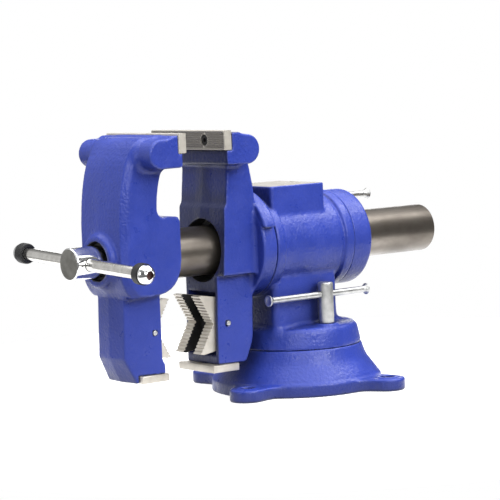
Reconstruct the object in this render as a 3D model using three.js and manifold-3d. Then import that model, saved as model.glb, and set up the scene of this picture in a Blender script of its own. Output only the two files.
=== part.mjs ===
// A 5 inch multi-jaw bench vise: a rotating head with flat jaws above and pipe jaws below its round
// slide, held in a swivel housing with an anvil, on a round base with four bolt-down ears.
// Millimetres, +Z up. The origin is the centre of the base's underside. The slide's axis runs along Y:
// the front (moving) jaw and the handle are at -Y, the bare end of the slide tube at +Y.

import * as THREE from 'three';
import { mergeVertices } from 'three/addons/utils/BufferGeometryUtils.js';
import Module from 'manifold-3d';

const wasm = await Module();
wasm.setup();

// ---------------------------------------------------------------- driving dimensions

const gap = 0.3; // left between two pieces that touch
const axisZ = 152.5; // height of the slide tube, the screw and the head's turning axis
const jawWidth = 123; // the nominal 5 inch (125 mm) size of the vise
const jawTop = 274.5; // top of the hardened inserts
const rearFaceY = -130; // gripping face of the rear insert
const frontFaceY = -176; // gripping face of the front insert, with the jaws 46 mm open
const insertThick = 9.5;
const insertHigh = 19.3;
const insertScrewX = 28; // the two screws of each insert

const neckHalf = 38; // half width of both jaw castings beside the slide
const columnHalf = 30; // half width of both castings below the slide, where they are widest
const columnBottom = 38.5;
const plateThick = 7.3; // bottom plates
const plateDeep = 32;
const plateScrewX = 18;

const tubeR = 25;
const tubeBoreR = 18.5;
const tubeFront = -220;
const tubeEnd = 181;
const tubeSlotHalf = 5.6;
const tubeSlot = [-126, 50]; // slot in the tube's underside for the nut's stud

const screwR = 11;
const screwEnd = 120;
const hubR = 16;
const hubFront = -278;
const hubBack = -238;
const handleY = -263; // cross hole in the hub
const handleR = 6.3;
const handleTilt = THREE.MathUtils.degToRad(2.8); // the handle at rest, near side lower
const handleHalf = 106.1; // from the middle of the bar to each ball's centre
const ballR = 9.5;
const bufferR = 10.4; // rubber ring behind each ball, which seats the ball's inner half
const bufferLong = 10;

const nutY = -45; // middle of the spindle nut and of its stud
const nutHalf = 24;
const studR = 5;

const sleeveR = 39; // the head's sleeve turns in the housing
const sleeveEnd = 66;
const barrelR = 49; // housing
const housingFront = -59.5;
const housingRear = 44.5;
const frontRingR = 52.5;
const frontRingBack = -48.3;
const grooveY = 31;
const collarR = 50;
const collarEnd = 69;
const flangeR = 52.5; // the head's flange in front of the housing
const flangeFront = -77.5;
const flangeBack = -60.3;
const shroudR = 59.5; // raised sector on top of the flange

const anvilHalf = 38;
const anvilY = [-55, 16];
const anvilTop = 213.5;
const pedestalHalf = 38;
const pedestalY = [-55, 29];
const pedestalRound = 8;

const seamZ = 45.5; // where the swivel ring sits on the base
const ringBottomR = 69.4;
const ringRimR = 63.8;
const ringRimZ = 66.2;
const ringTopZ = 69; // the ring's top rises a little towards the pedestal
const ringTopR = 48;
const pivotR = 12;

const baseFlangeR = 88.2;
const baseFlangeThick = 12.8;
const coneTopR = 71.8;
const coneTopZ = 36.6;
const earCircleR = 105.8;
const earR = 17.9;
const earHoleR = 7.5;
const earAngle = THREE.MathUtils.degToRad(22.6);
const slotR = 50; // circle of the lock bolts and of the base's annular T-slot
const slotNeckHalf = 6.6;
const slotWideHalf = 11;
const slotZ = [25, 37.5]; // wide part of the T-slot

const lockY = 2; // place of the two base lock bolts along the slide
const lockX = Math.sqrt(slotR * slotR - lockY * lockY);
const lockHeadR = 8;
const lockShankR = 5.8;
const lockTop = 112;
const lockBarZ = 99.5;
const barR = 3.4;
const barFlareR = 6;
const barLong = 131;
const lockBarFront = -75.5; // front end of the near bar, from its bolt

const headLockY = 31;
const headLockAngle = THREE.MathUtils.degToRad(140); // round the slide's axis, from +X
const headLockBarR = 59.5; // distance of the bar from the slide's axis
const headLockTopR = 71;
const headLockBarFront = -15;

const pipePinZ = 79.5;
const rearPipeY = -108.4; // pivot pins of the two pipe jaws
const frontPipeY = -199.5;
const pipePinR = 2.6;
const pipeArcR = 25; // round back of a pipe jaw, about its pin
const cheekR = 24.2; // the front pipe jaw's cheeks beside its blade
const pipeHalf = 21.5;
const pipeChannelHalf = 8.4; // channel between the rear jaw's two strips
const bladeHalf = 7.6; // the front jaw's single blade, which enters that channel
const pipeVHalf = 29; // half height of the V
const pipeVDeep = 16.5;
const pipeMouthHalf = 31.5; // the pocket opens to this half height, so that the front blade's tips enter it
const pipeMouthDeep = 8; // in front of the pin
const rearTipY = -139.5;
const frontTipY = -166;

// ---------------------------------------------------------------- materials

function paintOrMetal(color, roughness, metalness) {
  return new THREE.MeshStandardMaterial({ color, roughness, metalness });
}
const bluePaint = paintOrMetal('#2b3da8', 0.4, 0.1);
const groundSteel = paintOrMetal('#b9b6a8', 0.45, 0.8);
const turnedSteel = paintOrMetal('#5a5149', 0.4, 0.85);
const chrome = paintOrMetal('#d8dade', 0.12, 1);
const zinc = paintOrMetal('#c9ccc8', 0.3, 0.9);
const darkSteel = paintOrMetal('#2c2c2e', 0.5, 0.7);
const rubber = paintOrMetal('#141414', 0.8, 0);
const bronze = paintOrMetal('#a57c45', 0.4, 0.8);

// ---------------------------------------------------------------- solids from three.js geometry

function signedVolume(position, index) {
  const a = new THREE.Vector3();
  const b = new THREE.Vector3();
  const c = new THREE.Vector3();
  let sum = 0;
  for (let i = 0; i < index.count; i += 3) {
    a.fromBufferAttribute(position, index.getX(i));
    b.fromBufferAttribute(position, index.getX(i + 1));
    c.fromBufferAttribute(position, index.getX(i + 2));
    sum += a.dot(b.cross(c));
  }
  return sum;
}

function solid(geometry) {
  const bare = geometry.clone();
  bare.deleteAttribute('normal');
  bare.deleteAttribute('uv');
  const merged = mergeVertices(bare, 1e-4);
  const triangles = Uint32Array.from(merged.index.array);
  if (signedVolume(merged.attributes.position, merged.index) < 0) {
    for (let i = 0; i < triangles.length; i += 3) {
      [triangles[i + 1], triangles[i + 2]] = [triangles[i + 2], triangles[i + 1]];
    }
  }
  return new wasm.Manifold(new wasm.Mesh({
    numProp: 3,
    vertProperties: Float32Array.from(merged.attributes.position.array),
    triVerts: triangles,
  }));
}

function block(x, y, z) {
  const box = new THREE.BoxGeometry(x[1] - x[0], y[1] - y[0], z[1] - z[0]);
  box.translate((x[0] + x[1]) / 2, (y[0] + y[1]) / 2, (z[0] + z[1]) / 2);
  return solid(box);
}

// A cylinder or cone between two points.
function rod(from, to, radiusFrom, radiusTo = radiusFrom, sides = 16) {
  const start = new THREE.Vector3(...from);
  const end = new THREE.Vector3(...to);
  const length = start.distanceTo(end);
  const cylinder = new THREE.CylinderGeometry(radiusTo, radiusFrom, length, sides);
  const direction = end.clone().sub(start).normalize();
  cylinder.applyQuaternion(new THREE.Quaternion().setFromUnitVectors(new THREE.Vector3(0, 1, 0), direction));
  cylinder.translate(...start.add(end).multiplyScalar(0.5).toArray());
  return solid(cylinder);
}

// A cylinder along the slide's axis.
function axial(y0, y1, radius, sides = 32) {
  return rod([0, y0, axisZ], [0, y1, axisZ], radius, radius, sides);
}

// A turned solid about the vertical axis from [radius, z] points that start and end on the axis.
function turned(points, sides = 40) {
  const lathe = new THREE.LatheGeometry(points.map(([r, z]) => new THREE.Vector2(r, z)), sides);
  lathe.rotateX(Math.PI / 2);
  return solid(lathe);
}

// The same about the slide's axis, from [radius, y] points.
function aboutSlide(points, sides = 40) {
  const lathe = new THREE.LatheGeometry(points.map(([r, y]) => new THREE.Vector2(r, y)), sides);
  lathe.translate(0, 0, axisZ);
  return solid(lathe);
}

function tracedShape(trace) {
  const shape = new THREE.Shape();
  trace(shape);
  return shape;
}

// A side-view outline of (y, z), drawn out along X to both sides of the middle.
// With a chamfer its edges lose that much in the outline's plane and along X.
function sideways(trace, half, chamfer = 0, curveSegments = 8) {
  const extruded = new THREE.ExtrudeGeometry(tracedShape(trace), {
    depth: 2 * (half - chamfer),
    bevelEnabled: chamfer > 0,
    bevelThickness: chamfer,
    bevelSize: chamfer,
    bevelOffset: -chamfer,
    bevelSegments: 1,
    curveSegments,
  });
  const axes = new THREE.Matrix4().set(
    0, 0, 1, chamfer - half,
    1, 0, 0, 0,
    0, 1, 0, 0,
    0, 0, 0, 1,
  );
  return solid(extruded.applyMatrix4(axes));
}

// A top-view outline of (x, y), drawn out upwards.
function upwards(trace, z0, z1, curveSegments = 8) {
  const extruded = new THREE.ExtrudeGeometry(tracedShape(trace), {
    depth: z1 - z0, bevelEnabled: false, curveSegments,
  });
  extruded.translate(0, 0, z0);
  return solid(extruded);
}

function join(first, ...others) {
  return others.reduce((sum, piece) => sum.add(piece), first);
}

function cut(body, ...tools) {
  return tools.reduce((rest, tool) => rest.subtract(tool), body);
}

function polar(radius, angle) {
  return [radius * Math.cos(angle), radius * Math.sin(angle)];
}

const vise = new THREE.Group();

function add(name, body, material) {
  const mesh = body.getMesh();
  const geometry = new THREE.BufferGeometry();
  geometry.setAttribute('position', new THREE.BufferAttribute(mesh.vertProperties, 3));
  geometry.setIndex(new THREE.BufferAttribute(mesh.triVerts, 1));
  geometry.computeVertexNormals();
  const part = new THREE.Mesh(geometry, material);
  part.name = name;
  vise.add(part);
}

// ---------------------------------------------------------------- base

function baseCasting() {
  const bell = turned([
    [0, 0], [baseFlangeR, 0], [baseFlangeR - 1, baseFlangeThick], [84.7, 16.8],
    [74.6, 30.2], [coneTopR, coneTopZ], [ringBottomR - 0.4, seamZ], [0, seamZ],
  ]);
  let body = bell;
  for (let k = 0; k < 4; k += 1) {
    const angle = earAngle + k * Math.PI / 2;
    const ear = upwards((shape) => {
      const [cx, cy] = polar(earCircleR, angle);
      const spread = THREE.MathUtils.degToRad(23);
      shape.moveTo(...polar(baseFlangeR - 2, angle - spread));
      shape.quadraticCurveTo(...polar(92, angle - 0.2), ...offEar(cx, cy, angle, -1));
      shape.absarc(cx, cy, earR, angle - Math.PI / 2, angle + Math.PI / 2, false);
      shape.quadraticCurveTo(...polar(92, angle + 0.2), ...polar(baseFlangeR - 2, angle + spread));
    }, 0, baseFlangeThick, 7);
    body = body.add(ear);
  }
  for (let k = 0; k < 4; k += 1) {
    const [x, y] = polar(earCircleR, earAngle + k * Math.PI / 2);
    body = body.subtract(rod([x, y, -5], [x, y, 30], earHoleR, earHoleR, 16));
  }
  const underside = turned([[0, -5], [77, -5], [77, 6], [64, 17], [0, 17]])
    .subtract(rod([0, 0, -10], [0, 0, 30], 22, 22, 48));
  const slotNeck = ringBand(slotR - slotNeckHalf, slotR + slotNeckHalf, slotZ[1] - 1, seamZ + 5);
  const slotWide = ringBand(slotR - slotWideHalf, slotR + slotWideHalf, slotZ[0], slotZ[1]);
  const nutEntry = rod([0, slotR, -5], [0, slotR, slotZ[0] + 2], 13);
  const pivotHole = rod([0, 0, 20], [0, 0, seamZ + 5], pivotR + gap, pivotR + gap, 32);
  return cut(body, underside, slotNeck, slotWide, nutEntry, pivotHole);
}

function offEar(cx, cy, angle, side) {
  const [dx, dy] = polar(earR, angle + side * Math.PI / 2);
  return [cx + dx, cy + dy];
}

function ringBand(inner, outer, z0, z1) {
  return rod([0, 0, z0], [0, 0, z1], outer, outer, 32)
    .subtract(rod([0, 0, z0 - 1], [0, 0, z1 + 1], inner, inner, 32));
}

// ---------------------------------------------------------------- swivel housing

function swivelHousing() {
  const ring = turned([
    [0, seamZ + gap], [ringBottomR, seamZ + gap], [ringBottomR - 0.6, seamZ + 4],
    [ringRimR + 1.5, ringRimZ - 3], [ringRimR, ringRimZ], [ringTopR, ringTopZ], [0, ringTopZ],
  ]);
  const corner = pedestalRound;
  const pedestal = upwards((shape) => {
    const [y0, y1] = pedestalY;
    shape.moveTo(-pedestalHalf + corner, y0);
    shape.lineTo(pedestalHalf - corner, y0);
    shape.absarc(pedestalHalf - corner, y0 + corner, corner, -Math.PI / 2, 0, false);
    shape.absarc(pedestalHalf - corner / 2, y1 - corner / 2, corner / 2, 0, Math.PI / 2, false);
    shape.absarc(-pedestalHalf + corner / 2, y1 - corner / 2, corner / 2, Math.PI / 2, Math.PI, false);
    shape.absarc(-pedestalHalf + corner, y0 + corner, corner, Math.PI, 1.5 * Math.PI, false);
  }, 60, axisZ - 20, 5);
  const footRadius = 17;
  const rearFoot = sideways((shape) => {
    shape.moveTo(pedestalY[1] - 4, 60);
    shape.lineTo(pedestalY[1] + footRadius, 60);
    shape.lineTo(pedestalY[1] + footRadius, ringTopZ - 1);
    shape.absarc(pedestalY[1] + footRadius, ringTopZ - 1 + footRadius, footRadius, 1.5 * Math.PI, Math.PI, true);
    shape.lineTo(pedestalY[1] - 4, ringTopZ - 1 + footRadius);
  }, pedestalHalf - 6);
  const barrel = aboutSlide([
    [0, housingFront], [frontRingR, housingFront], [frontRingR, frontRingBack], [barrelR, frontRingBack],
    [barrelR, grooveY - 1], [barrelR - 1.2, grooveY - 1], [barrelR - 1.2, grooveY + 1], [barrelR, grooveY + 1],
    [barrelR, housingRear], [0, housingRear],
  ]);
  const anvil = block([-anvilHalf, anvilHalf], anvilY, [axisZ + 20, anvilTop]);
  const [ux, uz] = polar(1, headLockAngle);
  const lug = rod(
    [ux * 35, headLockY, axisZ + uz * 35], [ux * (barrelR + 3.5), headLockY, axisZ + uz * (barrelR + 3.5)], 12.5,
  );
  const bosses = lockSides().map(([x, y]) => rod([x, y, 60], [x, y, ringTopZ + 0.5], 12));
  let body = join(ring, pedestal, rearFoot, barrel, anvil, lug, ...bosses);
  const hollow = upwards((shape) => {
    const wall = 9;
    shape.moveTo(-pedestalHalf + wall, pedestalY[0] + wall);
    shape.lineTo(pedestalHalf - wall, pedestalY[0] + wall);
    shape.lineTo(pedestalHalf - wall, pedestalY[1] - wall);
    shape.lineTo(-pedestalHalf + wall, pedestalY[1] - wall);
  }, seamZ - 5, axisZ - 52);
  const hub = rod([0, 0, seamZ + gap], [0, 0, 72], 20, 20, 32);
  const webs = [
    block([-pedestalHalf, pedestalHalf], [-5, 5], [seamZ + gap, 72]),
    block([-5, 5], pedestalY, [seamZ + gap, 72]),
  ];
  body = body.subtract(cut(hollow, hub, ...webs));
  const lockHoles = lockSides().map(([x, y]) => rod([x, y, 30], [x, y, 90], lockShankR + gap));
  const headLockHole = rod(
    [ux * 30, headLockY, axisZ + uz * 30], [ux * 70, headLockY, axisZ + uz * 70], lockShankR + gap,
  );
  return cut(
    body,
    axial(housingFront - 5, housingRear + 5, sleeveR + 0.5),
    rod([0, 0, 40], [0, 0, 64], pivotR + gap, pivotR + gap, 32),
    headLockHole,
    ...lockHoles,
  );
}

function lockSides() {
  return [[lockX, lockY], [-lockX, -lockY]];
}

// A plain bar with an upset, flared end on each side, along Y from y0.
function tommyBar(x, y0, z) {
  const y1 = y0 + barLong;
  const flare = 5;
  return join(
    rod([x, y0 + 1, z], [x, y1 - 1, z], barR, barR, 16),
    rod([x, y0, z], [x, y0 + flare, z], barFlareR, barR, 16),
    rod([x, y1 - flare, z], [x, y1, z], barR, barFlareR, 16),
  );
}

function lockBolt(x, y) {
  const head = rod([x, y, ringTopZ + 0.5 + gap], [x, y, lockTop], lockHeadR, lockHeadR, 28);
  const shank = rod([x, y, slotZ[0] + 0.6], [x, y, ringTopZ + 2], lockShankR);
  const hole = rod([x, y - 20, lockBarZ], [x, y + 20, lockBarZ], barR + 0.35, barR + 0.35, 16);
  return cut(head.add(shank), hole);
}

function lockNut(x, y) {
  const nut = block([x - 9, x + 9], [y - 10, y + 10], [slotZ[1] - gap - 10, slotZ[1] - gap]);
  return nut.subtract(rod([x, y, 0], [x, y, 60], lockShankR + gap));
}

function headLockPoint(radius) {
  const [ux, uz] = polar(radius, headLockAngle);
  return [ux, headLockY, axisZ + uz];
}

function headLockBolt() {
  const head = rod(headLockPoint(barrelR + 3.5 + gap), headLockPoint(headLockTopR), lockHeadR, lockHeadR, 28);
  const shank = rod(headLockPoint(45), headLockPoint(barrelR + 6), lockShankR);
  const [x, , z] = headLockPoint(headLockBarR);
  const hole = rod([x, headLockY - 20, z], [x, headLockY + 20, z], barR + 0.35, barR + 0.35, 16);
  return cut(head.add(shank), hole);
}

// ---------------------------------------------------------------- jaws

// The V of a pipe jaw is cut back from tipY; towards is +1 when the jaw faces +Y and -1 when it faces -Y.
function pipeJawOutline(pinY, tipY, towards) {
  const backStart = pipeArcR * 0.96;
  const rise = Math.sqrt(pipeArcR * pipeArcR - backStart * backStart);
  return (shape) => {
    shape.moveTo(tipY, pipePinZ - pipeVHalf);
    shape.lineTo(tipY - towards * pipeVDeep, pipePinZ);
    shape.lineTo(tipY, pipePinZ + pipeVHalf);
    shape.lineTo(tipY - towards * 4, pipePinZ + pipeVHalf + 1);
    shape.lineTo(pinY + towards * rise, pipePinZ + backStart);
    const angles = towards > 0 ? [Math.PI / 2, 1.5 * Math.PI] : [Math.PI / 2, -Math.PI / 2];
    shape.absarc(pinY, pipePinZ, pipeArcR, angles[0], angles[1], towards < 0);
    shape.lineTo(pinY + towards * rise, pipePinZ - backStart);
    shape.lineTo(tipY - towards * 4, pipePinZ - pipeVHalf - 1);
  };
}

function pinHole(pinY, radius) {
  return rod([-60, pinY, pipePinZ], [60, pinY, pipePinZ], radius, radius, 16);
}

function rearPipeJaw() {
  const body = sideways(pipeJawOutline(rearPipeY, rearTipY, -1), pipeHalf, 0, 14);
  const channel = block([-pipeChannelHalf, pipeChannelHalf], [rearTipY - 5, -116], [20, 140]);
  return cut(body, channel, pinHole(rearPipeY, pipePinR + gap));
}

function frontPipeJaw() {
  const blade = sideways(pipeJawOutline(frontPipeY, frontTipY, 1), bladeHalf, 0, 14);
  const cheeks = rod([-pipeHalf, frontPipeY, pipePinZ], [pipeHalf, frontPipeY, pipePinZ], cheekR, cheekR, 28)
    .subtract(block([-40, 40], [-198.5, -160], [20, 140]));
  return cut(blade.add(cheeks), pinHole(frontPipeY, pipePinR + gap));
}

// The pocket a pipe jaw rocks in: a round back and an open front.
function pipePocket(pinY, towards) {
  const half = pipeHalf + 0.6;
  const round = rod([-half, pinY, pipePinZ], [half, pinY, pipePinZ], pipeArcR + 0.7, pipeArcR + 0.7, 32);
  const mouthY = pinY + towards * pipeMouthDeep;
  const farY = pinY + towards * 60;
  const mouth = sideways((shape) => {
    shape.moveTo(pinY, pipePinZ - pipeArcR - 0.7);
    shape.lineTo(mouthY, pipePinZ - pipeMouthHalf);
    shape.lineTo(farY, pipePinZ - pipeMouthHalf - 6);
    shape.lineTo(farY, pipePinZ + pipeMouthHalf + 6);
    shape.lineTo(mouthY, pipePinZ + pipeMouthHalf);
    shape.lineTo(pinY, pipePinZ + pipeArcR + 0.7);
  }, half);
  return round.add(mouth);
}

function pipePin(pinY) {
  return rod([-columnHalf + 0.5, pinY, pipePinZ], [columnHalf - 0.5, pinY, pipePinZ], pipePinR, pipePinR, 16);
}

function hornScrewHoles(faceY, towards) {
  const [from, to] = [faceY - towards * 60, faceY + towards * 5];
  return [-insertScrewX, insertScrewX].map((x) => rod(
    [x, from + towards * 34, jawTop - insertHigh / 2], [x, to, jawTop - insertHigh / 2], 4 + gap, 4 + gap, 16,
  ));
}

function plateScrewHoles(y) {
  return [-plateScrewX, plateScrewX].map((x) => rod([x, y, 20], [x, y, columnBottom + 9.5], 3 + gap, 3 + gap, 12));
}

const hornBottom = 241.4;
const frontNoseR = 14.2; // round outer edge of each flat jaw's bar
const frontNose = [-206, 255.3];
const rearNoseR = 14.7;
const rearNose = [-100.5, 254.7];
const frontPlateY = -200; // middle of each bottom plate's screws
const rearPlateY = -112;

// What is cut off a column's two flanks, which close in from full width at backY to each [x, y] of the front.
function columnFlanks(backY, ...front) {
  return [-1, 1].map((side) => upwards((shape) => {
    shape.moveTo(side * columnHalf, backY);
    shape.lineTo(side * (columnHalf + 20), backY);
    shape.lineTo(side * (columnHalf + 20), -260);
    shape.lineTo(side * front[front.length - 1][0], -260);
    [...front].reverse().forEach(([x, y]) => shape.lineTo(side * x, y));
  }, 20, 140));
}

function rearJaw() {
  const seatY = rearFaceY + insertThick + gap;
  const hornFront = rearFaceY + 3;
  const shelf = jawTop - insertHigh - gap;
  const horn = sideways((shape) => {
    shape.moveTo(hornFront, 240.5);
    shape.lineTo(rearNose[0], rearNose[1] - rearNoseR);
    shape.absarc(...rearNose, rearNoseR, -Math.PI / 2, Math.PI / 2, false);
    shape.quadraticCurveTo(-106.5, 269.4, -107.5, 271);
    shape.lineTo(-110.5, 272.3);
    shape.lineTo(seatY, 272.3);
    shape.lineTo(seatY, shelf);
    shape.lineTo(hornFront, shelf);
  }, jawWidth / 2, 0, 8);
  const neck = sideways((shape) => {
    shape.moveTo(-110.6, 250);
    shape.lineTo(-110.9, 238);
    shape.lineTo(-114.2, 201);
    shape.lineTo(-117, 196);
    shape.lineTo(-118, 168);
    shape.lineTo(-120, 127);
    shape.lineTo(-77, 127);
    shape.lineTo(-77, 205);
    shape.lineTo(-82, 241);
    shape.lineTo(-92, 250);
  }, neckHalf, 1.5);
  const column = sideways((shape) => {
    shape.moveTo(-119.6, 135);
    shape.lineTo(-119.6, 106);
    shape.lineTo(-122, 60);
    shape.lineTo(-122, columnBottom);
    shape.lineTo(-88, columnBottom);
    shape.lineTo(-78.5, 60);
    shape.lineTo(-77, 110);
    shape.lineTo(-77, 135);
  }, columnHalf, 0);
  const shroud = axial(flangeFront, flangeBack - 3, shroudR, 48)
    .subtract(block([-80, 80], [-120, 0], [0, axisZ + 22]));
  const body = join(
    horn, neck, cut(column, ...columnFlanks(-88, [columnHalf - 4, -121])), shroud,
    axial(flangeFront, flangeBack, flangeR, 48),
    axial(flangeFront, sleeveEnd, sleeveR),
  );
  return cut(
    body,
    axial(-130, sleeveEnd + 5, tubeR + gap),
    axial(-130, -100, 32),
    pipePocket(rearPipeY, -1),
    pinHole(rearPipeY, pipePinR + gap),
    rod([0, nutY, axisZ], [0, nutY, axisZ - sleeveR - 5], studR + gap, studR + gap, 20),
    ...hornScrewHoles(rearFaceY, -1),
    ...plateScrewHoles(rearPlateY),
  );
}

function frontJaw() {
  const seatY = frontFaceY - insertThick - gap;
  const hornRear = frontFaceY - 5;
  const shelf = jawTop - insertHigh - gap;
  const horn = sideways((shape) => {
    shape.moveTo(hornRear, hornBottom);
    shape.lineTo(hornRear, shelf);
    shape.lineTo(seatY, shelf);
    shape.lineTo(seatY, 272.6);
    shape.lineTo(-192, 272.6);
    shape.lineTo(-196, 269.7);
    shape.absarc(...frontNose, frontNoseR, Math.PI / 2, 1.5 * Math.PI, false);
  }, jawWidth / 2, 0, 8);
  const neck = sideways((shape) => {
    shape.moveTo(-200, 262);
    shape.lineTo(-206, 270);
    shape.lineTo(-214.6, 270);
    shape.quadraticCurveTo(-226.5, 261, -232.4, 245);
    shape.quadraticCurveTo(-239.8, 222, -241, 184);
    shape.lineTo(-241, 140);
    shape.quadraticCurveTo(-239.5, 122, -226, 113.5);
    shape.lineTo(-197, 117.5);
    shape.quadraticCurveTo(-172, 121, -170.3, 150);
    shape.lineTo(-170.3, 190);
    shape.lineTo(-173, 192.6);
    shape.lineTo(-194.5, 192.8);
    shape.quadraticCurveTo(-197.5, 195, -197.6, 200);
    shape.quadraticCurveTo(-196, 224, -187, 243);
    shape.lineTo(-190, 250);
  }, neckHalf, 4);
  const column = sideways((shape) => {
    shape.moveTo(-234.4, 135);
    shape.lineTo(-234.4, 56);
    shape.lineTo(-225.5, 36.5);
    shape.lineTo(-218, columnBottom - plateThick + 0.5);
    shape.lineTo(-218, columnBottom);
    shape.lineTo(-189.3, columnBottom);
    shape.lineTo(-189.3, 48);
    shape.lineTo(-192.3, 52);
    shape.lineTo(-192.3, 135);
  }, columnHalf, 0);
  const flanks = columnFlanks(-192.3, [22.6, -231.9], [0, -234.4]);
  const boss = rod([0, -246.5, axisZ], [0, -235, axisZ], 25, 29, 48);
  return cut(
    join(horn, neck, cut(column, ...flanks), boss),
    axial(-260, hubBack, hubR + 3.5),
    axial(-260, -160, screwR + 2 + gap),
    axial(tubeFront - gap, -160, tubeR + gap),
    pipePocket(frontPipeY, 1),
    pinHole(frontPipeY, pipePinR + gap),
    rod([-50, -200, axisZ], [0, -200, axisZ], 4 + gap, 4 + gap, 16),
    ...hornScrewHoles(frontFaceY, 1),
    ...plateScrewHoles(frontPlateY),
  );
}

function jawInsert(faceY, towards) {
  const y = [faceY, faceY - towards * insertThick].sort((a, b) => a - b);
  const plate = block([-jawWidth / 2, jawWidth / 2], y, [jawTop - insertHigh, jawTop]);
  const holes = hornScrewHoles(faceY, towards);
  const sinks = [-insertScrewX, insertScrewX].map((x) => rod(
    [x, faceY - towards * 5.5, jawTop - insertHigh / 2], [x, faceY + towards * 5, jawTop - insertHigh / 2], 5.7, 5.7, 20,
  ));
  return cut(plate, ...holes, ...sinks);
}

// A socket-head screw whose head lies under the insert's face.
function insertScrew(faceY, towards, x) {
  const z = jawTop - insertHigh / 2;
  const head = rod([x, faceY - towards * 5.2, z], [x, faceY - towards * 1.2, z], 5.3, 5.3, 20);
  const shank = rod([x, faceY - towards * 24, z], [x, faceY - towards * 5, z], 4, 4, 16);
  const socket = rod([x, faceY - towards * 3.6, z], [x, faceY, z], 2.6, 2.6, 6);
  return cut(head.add(shank), socket);
}

function bottomPlate(y0, screwY) {
  const z = [columnBottom - gap - plateThick, columnBottom - gap];
  const plate = block([-columnHalf, columnHalf], [y0, y0 + plateDeep], z);
  const sinks = [-plateScrewX, plateScrewX].map((x) => rod([x, screwY, z[0] - 1], [x, screwY, z[0] + 3.6], 6, 6, 20));
  return cut(plate, ...plateScrewHoles(screwY), ...sinks);
}

function plateScrew(screwY, x) {
  const low = columnBottom - gap - plateThick;
  const head = rod([x, screwY, low + 0.4], [x, screwY, low + 3.3], 5.5, 5.5, 20);
  const shank = rod([x, screwY, low + 3], [x, screwY, columnBottom + 8], 3, 3, 12);
  const socket = rod([x, screwY, low - 1], [x, screwY, low + 1.8], 2.3, 2.3, 6);
  return cut(head.add(shank), socket);
}

// ---------------------------------------------------------------- slide, screw and handle

function slideTube() {
  const tube = axial(tubeFront, tubeEnd, tubeR).subtract(axial(tubeFront - 5, tubeEnd + 5, tubeBoreR));
  const slot = block([-tubeSlotHalf, tubeSlotHalf], tubeSlot, [axisZ - 40, axisZ]);
  return cut(tube, slot);
}

function spindleNut() {
  return cut(
    axial(nutY - nutHalf, nutY + nutHalf, tubeBoreR - 0.5, 28),
    axial(nutY - 40, nutY + 40, screwR + gap, 24),
    rod([0, nutY, axisZ - screwR - 3], [0, nutY, axisZ - 40], studR + gap, studR + gap, 20),
  );
}

function leadScrew() {
  const hub = axial(hubFront, hubBack - 3.2, hubR, 32);
  const shaft = axial(hubBack - 5, screwEnd, screwR, 24);
  const [dx, dz] = polar(60, -handleTilt);
  const hole = rod([-dx, handleY, axisZ - dz], [dx, handleY, axisZ + dz], handleR + 0.5);
  return cut(hub.add(shaft), hole);
}

function alongHandle(distance) {
  const [dx, dz] = polar(distance, -handleTilt);
  return [dx, handleY, axisZ + dz];
}

function handleBar() {
  return rod(alongHandle(-handleHalf + 6), alongHandle(handleHalf - 6), handleR, handleR, 24);
}

// A ball end with a flat and a socket, bored for the bar.
function handleBall(side) {
  const ball = new THREE.SphereGeometry(ballR, 16, 12);
  ball.translate(...alongHandle(side * handleHalf));
  return cut(
    solid(ball),
    rod(alongHandle(side * (handleHalf + 8.3)), alongHandle(side * (handleHalf + 20)), 12),
    rod(alongHandle(side * (handleHalf + 4)), alongHandle(side * (handleHalf + 20)), 4.5, 4.5, 12),
    rod(alongHandle(side * (handleHalf - 20)), alongHandle(side * (handleHalf - 6 + gap)), handleR + gap),
  );
}

function bufferRing(side) {
  const seat = new THREE.SphereGeometry(ballR + gap, 16, 12);
  seat.translate(...alongHandle(side * handleHalf));
  const inner = handleHalf - bufferLong;
  return cut(
    rod(alongHandle(side * (handleHalf - 0.5)), alongHandle(side * inner), bufferR, bufferR, 28),
    solid(seat),
    rod(alongHandle(side * handleHalf), alongHandle(side * (inner - 3)), handleR + gap, handleR + gap, 28),
  );
}

// ---------------------------------------------------------------- assembly

add('base_casting', baseCasting(), bluePaint);
add('pivot_pin', rod([0, 0, 20.3], [0, 0, 63], pivotR, pivotR, 32), darkSteel);
add('swivel_housing', swivelHousing(), bluePaint);

const sides = { right: lockSides()[0], left: lockSides()[1] };
for (const [side, [x, y]] of Object.entries(sides)) {
  add(`lock_nut_${side}`, lockNut(x, y), darkSteel);
  add(`lock_bolt_${side}`, lockBolt(x, y), zinc);
  const front = side === 'right' ? y + lockBarFront : y - lockBarFront - barLong;
  add(`lock_bar_${side}`, tommyBar(x, front, lockBarZ), zinc);
}
add('head_lock_bolt', headLockBolt(), zinc);
const [headBarX, , headBarZ] = headLockPoint(headLockBarR);
add('head_lock_bar', tommyBar(headBarX, headLockY + headLockBarFront, headBarZ), zinc);
add('head_lock_shoe', rod(headLockPoint(sleeveR + 0.8), headLockPoint(44.7), 5.2, 5.2, 20), bronze);

add('rear_jaw', rearJaw(), bluePaint);
const collarScrewAngles = [-90, 180].map(THREE.MathUtils.degToRad);
const collarScrewY = 57;
function collarScrewRod(angle, from, to, radius, count) {
  const [ax, az] = polar(from, angle);
  const [bx, bz] = polar(to, angle);
  return rod([ax, collarScrewY, axisZ + az], [bx, collarScrewY, axisZ + bz], radius, radius, count);
}
add('rear_collar', cut(
  axial(housingRear + gap, collarEnd, collarR),
  axial(0, sleeveEnd + gap, sleeveR + gap),
  axial(0, 90, tubeR + 1.5),
  ...collarScrewAngles.map((angle) => collarScrewRod(angle, 30, 60, 4 + gap, 16)),
), bluePaint);
collarScrewAngles.forEach((angle, i) => {
  const screw = collarScrewRod(angle, sleeveR + gap, collarR - 1, 4, 16)
    .subtract(collarScrewRod(angle, collarR - 4, collarR + 5, 2.3, 6));
  add(`collar_screw_${i + 1}`, screw, darkSteel);
});
add('spindle_nut', spindleNut(), bronze);
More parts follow.
